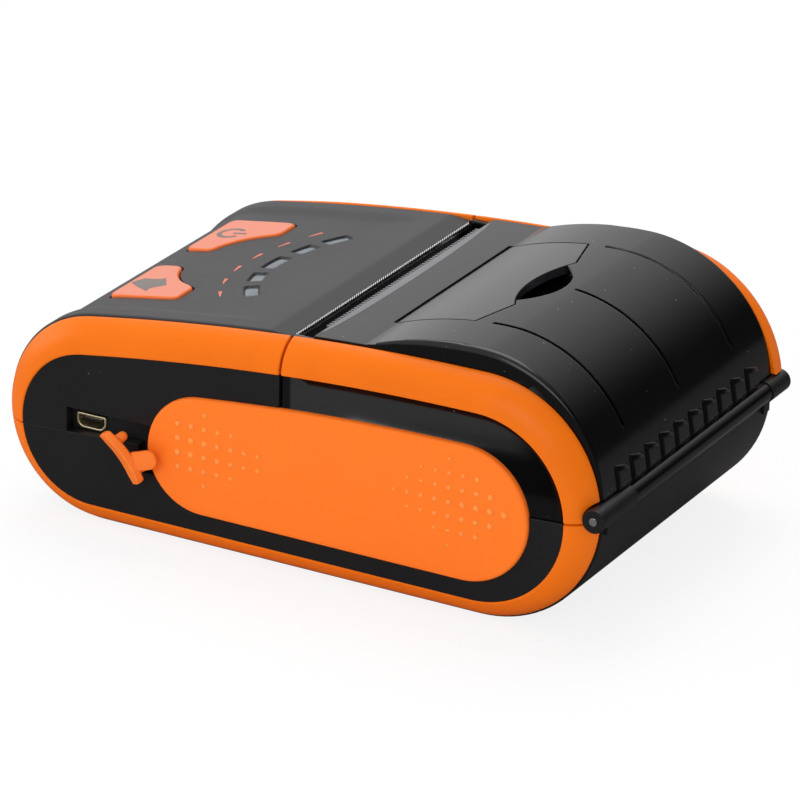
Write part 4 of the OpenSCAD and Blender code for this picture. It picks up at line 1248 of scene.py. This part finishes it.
class PRINTER_OT_plug(bpy.types.Operator):
    """Models the rubber plug: bent plate, round peg and strap"""
    bl_idname = "printer.plug"
    bl_label = "Rubber plug"

    def execute(self, context):
        case = Case()
        strap_y = case.grip.front[0] - case.sizes.grip_front_r - 1.1 * MM
        where = Matrix.Translation((43 * MM, strap_y - 2.7 * MM, 17.3 * MM))
        for angle, axis in ((-31, "Z"), (28, "Y"), (24, "X")):
            where = where @ Matrix.Rotation(math.radians(angle), 4, axis)
        peg = turned("plug_peg", [(-0.2, 1.0), (1.6, 0.98), (2.2, 0.85), (2.55, 0.55), (2.68, 0.2)],
                     where @ Vector((-0.5 * MM, 0, 3.3 * MM)), where.to_3x3() @ Vector((-1, 0, 0)),
                     "orange_plug", 28, 60)
        parts = [self.plate(where), peg, self.strap(where), self.tab()]
        place(join("usb_plug_look", parts), "plug", "orange_plug", "usb_plug")
        return {"FINISHED"}

    def plate(self, where):
        """Bent plate with flat chamfered sides and narrower ends."""
        rings = []
        corner = 0.28 * MM
        for i in range(23):
            share = min(max((i - 1) / 20, 0.0), 1.0)
            end = i in (0, 22)
            z = (-5.3 + 11.0 * share) * MM
            bend = 0.15 * MM - 0.6 * MM * math.sin(math.pi * share)
            taper = min(1.0, 0.74 + 1.6 * min(share, 1 - share))
            half_y, half_x = 2.15 * MM * taper * (0.9 if end else 1.0), 0.82 * MM * (0.72 if end else 1.0)
            if end:
                z += 0.12 * MM if i else -0.12 * MM
            ring = [(half_x, half_y - corner), (half_x - corner, half_y), (corner - half_x, half_y),
                    (-half_x, half_y - corner), (-half_x, corner - half_y), (corner - half_x, -half_y),
                    (half_x - corner, -half_y), (half_x, corner - half_y)]
            rings.append([where @ Vector((x + bend, y, z)) for x, y in ring])
        return solid("plug_plate", rings, "orange_plug", 30)

    def strap(self, where):
        """Flat strap that leads from the plate to the edge of the grip."""
        rings = []
        for i in range(17):
            share = i / 16
            x, y = -0.3 - 5.3 * share, 0.35 * math.sin(share * math.pi)
            z = -2.6 - 0.9 * math.sin(share * math.pi / 2)
            half_z = 1.5 - 0.2 * math.sin(share * math.pi)
            rings.append([where @ (Vector((x, y + 0.5 * softened(math.sin(a), 0.6),
                                           z + half_z * softened(math.cos(a), 0.5))) * MM)
                          for a in (math.tau * k / 24 for k in range(24))])
        return solid("plug_strap", rings, "orange_plug", 50)

    def tab(self):
        """Loose end of the strap, with a round end, lying over the front edge of the grip."""
        start, end, half = Vector((43.05, -30.6, 17.1)) * MM, Vector((42.8, -27.7, 18.0)) * MM, 1.85 * MM
        reach = (end - start).length
        along = (end - start).normalized()
        out = Vector((1, 0, 0))
        out = (out - along * out.dot(along)).normalized()
        where = Matrix.Translation(start) @ Matrix((along, out.cross(along), out)).transposed().to_4x4()
        arc = [math.pi / 2 - math.pi * i / 20 for i in range(21)]
        rings = []
        for height, inset in ((-0.45, 0.22 * MM), (-0.25, 0.0), (0.25, 0.0), (0.45, 0.22 * MM)):
            small = half - inset
            plan = [(inset, -small), (inset, small)]
            plan += [(reach + small * math.cos(a), small * math.sin(a)) for a in arc]
            rings.append([where @ Vector((x, y, height * MM)) for x, y in plan])
        return solid("plug_tab", rings, "orange_plug", 50)


def screw_template(head, radius, shank, height):
    """Pan head screw with a cross recess, its head at the origin and facing down. Sizes in millimetres."""
    made = turned("screw", [(0.0, head * 0.35), (0.02, head * 0.6), (0.12, head * 0.9), (0.3, head),
                            (height, head), (height, radius), (shank - 0.4, radius), (shank, radius * 0.6)],
                  (0, 0, 0), (0, 0, 1), "steel", 32)
    arms = [block("arm", (-a * MM, -b * MM, -1 * MM), (a * MM, b * MM, 0.5 * MM), 0.05, "steel", 1)
            for a, b in ((head * 0.56, 0.2), (0.2, head * 0.56))]
    return cut(made, arms)


class PRINTER_OT_screws(bpy.types.Operator):
    """Sets the screws of the case and of the battery door"""
    bl_idname = "printer.screws"
    bl_label = "Screws"

    def execute(self, context):
        for node, head, radius, shank, height in (("door_screws", 1.65, 0.8, 3.9, 0.8),
                                                  ("case_screws", 2.1, 1.0, 19.0, 1.6)):
            low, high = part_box(node)
            inset = head * MM
            points = [(x, y, low.z) for x in (low.x + inset, high.x - inset)
                      for y in (low.y + inset, high.y - inset)]
            made = scatter(node + "_look", screw_template(head, radius, shank, height), points, "steel",
                           turns=[0.4 + k * 1.1 for k in range(4)])
            place(made, "base", "steel", node)
        return {"FINISHED"}


PLAIN = {
    "black_case": ("base_shell", "upper_housing", "battery_door"),
    "lever_grey": ("release_lever",),
    "board_green": ("key_board", "main_board"),
    "switch_black": ("key_switches",),
    "ceramic": ("print_head",),
    "alloy": ("heat_sink",),
    "steel": ("head_springs", "mechanism_frame", "stepper_motor", "idler_pin", "hinge_pin", "lever_axle",
              "platen_shaft"),
    "brass": ("motor_pinion",),
    "gear_white": ("idler_gear", "platen_gear"),
    "inner_black": ("paper_bay", "platen_carrier"),
    "battery_blue": ("battery_pack",),
    "roller_black": ("platen_rubber",),
}


class PRINTER_OT_finishes(bpy.types.Operator):
    """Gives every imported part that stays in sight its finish"""
    bl_idname = "printer.finishes"
    bl_label = "Finishes of the packed parts"

    def execute(self, context):
        for finish, nodes in PLAIN.items():
            for node in nodes:
                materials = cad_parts[node].data.materials
                materials.clear()
                materials.append(finish_of(finish))
        return {"FINISHED"}


def area_light(name, spot, size, power):
    """A soft white lamp that faces the printer."""
    lamp = bpy.data.lights.new(name, "AREA")
    lamp.shape = "RECTANGLE"
    lamp.size, lamp.size_y = size
    lamp.energy = power
    made = shown(name, lamp)
    made.location = spot
    made.rotation_euler = (Vector((0, 0, 0.02)) - Vector(spot)).to_track_quat("-Z", "Y").to_euler()


def seen_by(net):
    """1 for what the camera sees, also through clear pieces, and 1 for what a shiny piece mirrors."""
    rays = net.node("ShaderNodeLightPath").outputs
    return (Field(net, rays["Is Camera Ray"]).largest(rays["Is Transmission Ray"]),
            Field(net, rays["Is Glossy Ray"]))


class PRINTER_OT_stage(bpy.types.Operator):
    """Sets the camera, floor, lamps and surroundings"""
    bl_idname = "printer.stage"
    bl_label = "Studio"

    def execute(self, context):
        scene = context.scene
        optics = bpy.data.cameras.new("camera")
        optics.lens = 258.15
        optics.sensor_width = 36
        optics.sensor_fit = "HORIZONTAL"
        optics.clip_start = 0.05
        camera = shown("camera", optics)
        right = Vector((-0.47801, 0.87796, 0.02655))
        up = Vector((-0.32747, -0.20618, 0.92210))
        turn = Matrix((right, up, right.cross(up))).transposed().to_4x4()
        camera.matrix_world = Matrix.Translation((0.87769, 0.46708, 0.43713)) @ turn
        scene.camera = camera
        scene.view_settings.view_transform = "Standard"
        self.floor()
        self.world(scene)
        area_light("high lamp", (-0.5, -0.3, 1.3), (1.1, 1.1), 12.5)
        area_light("side lamp", (1.3, 0.1, 0.7), (0.9, 0.7), 6)
        area_light("nose lamp", (0.3, -1.3, 0.5), (0.8, 0.6), 4)
        return {"FINISHED"}

    def floor(self):
        """Pale floor: almost plain white for the camera, and dark where a shiny piece mirrors it."""
        mesh = bpy.data.meshes.new("floor")
        mesh.from_pydata([(-6, -6, 0), (6, -6, 0), (6, 6, 0), (-6, 6, 0)], [], [(0, 1, 2, 3)])
        made = shown("floor", mesh)
        finish = Finish("floor")
        net = finish.net
        finish.dress((0.9, 0.9, 0.9, 1), 0.8)
        surface = finish.shader
        camera, glossy = seen_by(net)
        for share, strength in ((camera * 0.85, 1.0), (glossy * 0.85, 0.04)):
            glow = net.node("ShaderNodeEmission", None, {"Color": (1, 1, 1, 1), "Strength": strength})
            surface = net.node("ShaderNodeMixShader", None, {0: share, 1: surface, 2: glow})
        net.join(finish.material.node_tree.nodes["Material Output"].inputs["Surface"], surface)
        mesh.materials.append(finish.material)

    def world(self, scene):
        """White background for the camera, a soft light, and a brighter far side for shiny pieces."""
        scene.world = world = bpy.data.worlds.new("studio")
        world.use_nodes = True
        net = Net(world.node_tree)
        camera, glossy = seen_by(net)
        x, y, z = net.split(net.spot("Generated"))
        shiny, soft = (z * 0.5 - y * 0.9 - x * 0.05).ramp(-0.3, 0.5) * 0.95 + 0.03, 0.56
        strength = glossy * (shiny - soft) + soft
        ground = world.node_tree.nodes["Background"]
        ground.inputs["Color"].default_value = (1, 1, 1, 1)
        net.join(ground.inputs["Strength"], strength + camera * (1.0 - strength))


STEPS = ["rims", "grips", "top_cover", "lights", "keys", "tear_edge", "hood", "socket", "plug", "screws",
         "finishes", "stage"]


class PRINTER_PT_panel(bpy.types.Panel):
    """Sizes, colours and steps of the printer"""
    bl_idname = "PRINTER_PT_panel"
    bl_label = "Thermal printer"
    bl_space_type = "VIEW_3D"
    bl_region_type = "UI"
    bl_category = "Printer"

    def draw(self, context):
        layout = self.layout
        for group in (context.scene.printer_sizes, context.scene.printer_colours):
            box = layout.box()
            for name in group.__annotations__:
                box.prop(group, name)
        for step in STEPS:
            layout.operator("printer." + step)


CLASSES = [PrinterSizes, PrinterColours, PRINTER_OT_rims, PRINTER_OT_grips, PRINTER_OT_top_cover,
           PRINTER_OT_lights, PRINTER_OT_keys, PRINTER_OT_tear_edge, PRINTER_OT_hood, PRINTER_OT_socket,
           PRINTER_OT_plug, PRINTER_OT_screws, PRINTER_OT_finishes, PRINTER_OT_stage, PRINTER_PT_panel]


def register():
    for item in CLASSES:
        bpy.utils.register_class(item)
    bpy.types.Scene.printer_sizes = bpy.props.PointerProperty(type=PrinterSizes)
    bpy.types.Scene.printer_colours = bpy.props.PointerProperty(type=PrinterColours)


def unregister():
    del bpy.types.Scene.printer_colours
    del bpy.types.Scene.printer_sizes
    for item in reversed(CLASSES):
        bpy.utils.unregister_class(item)


def main():
    register()
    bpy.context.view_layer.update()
    for step in STEPS:
        getattr(bpy.ops.printer, step)()


if __name__ == "__main__":
    main()
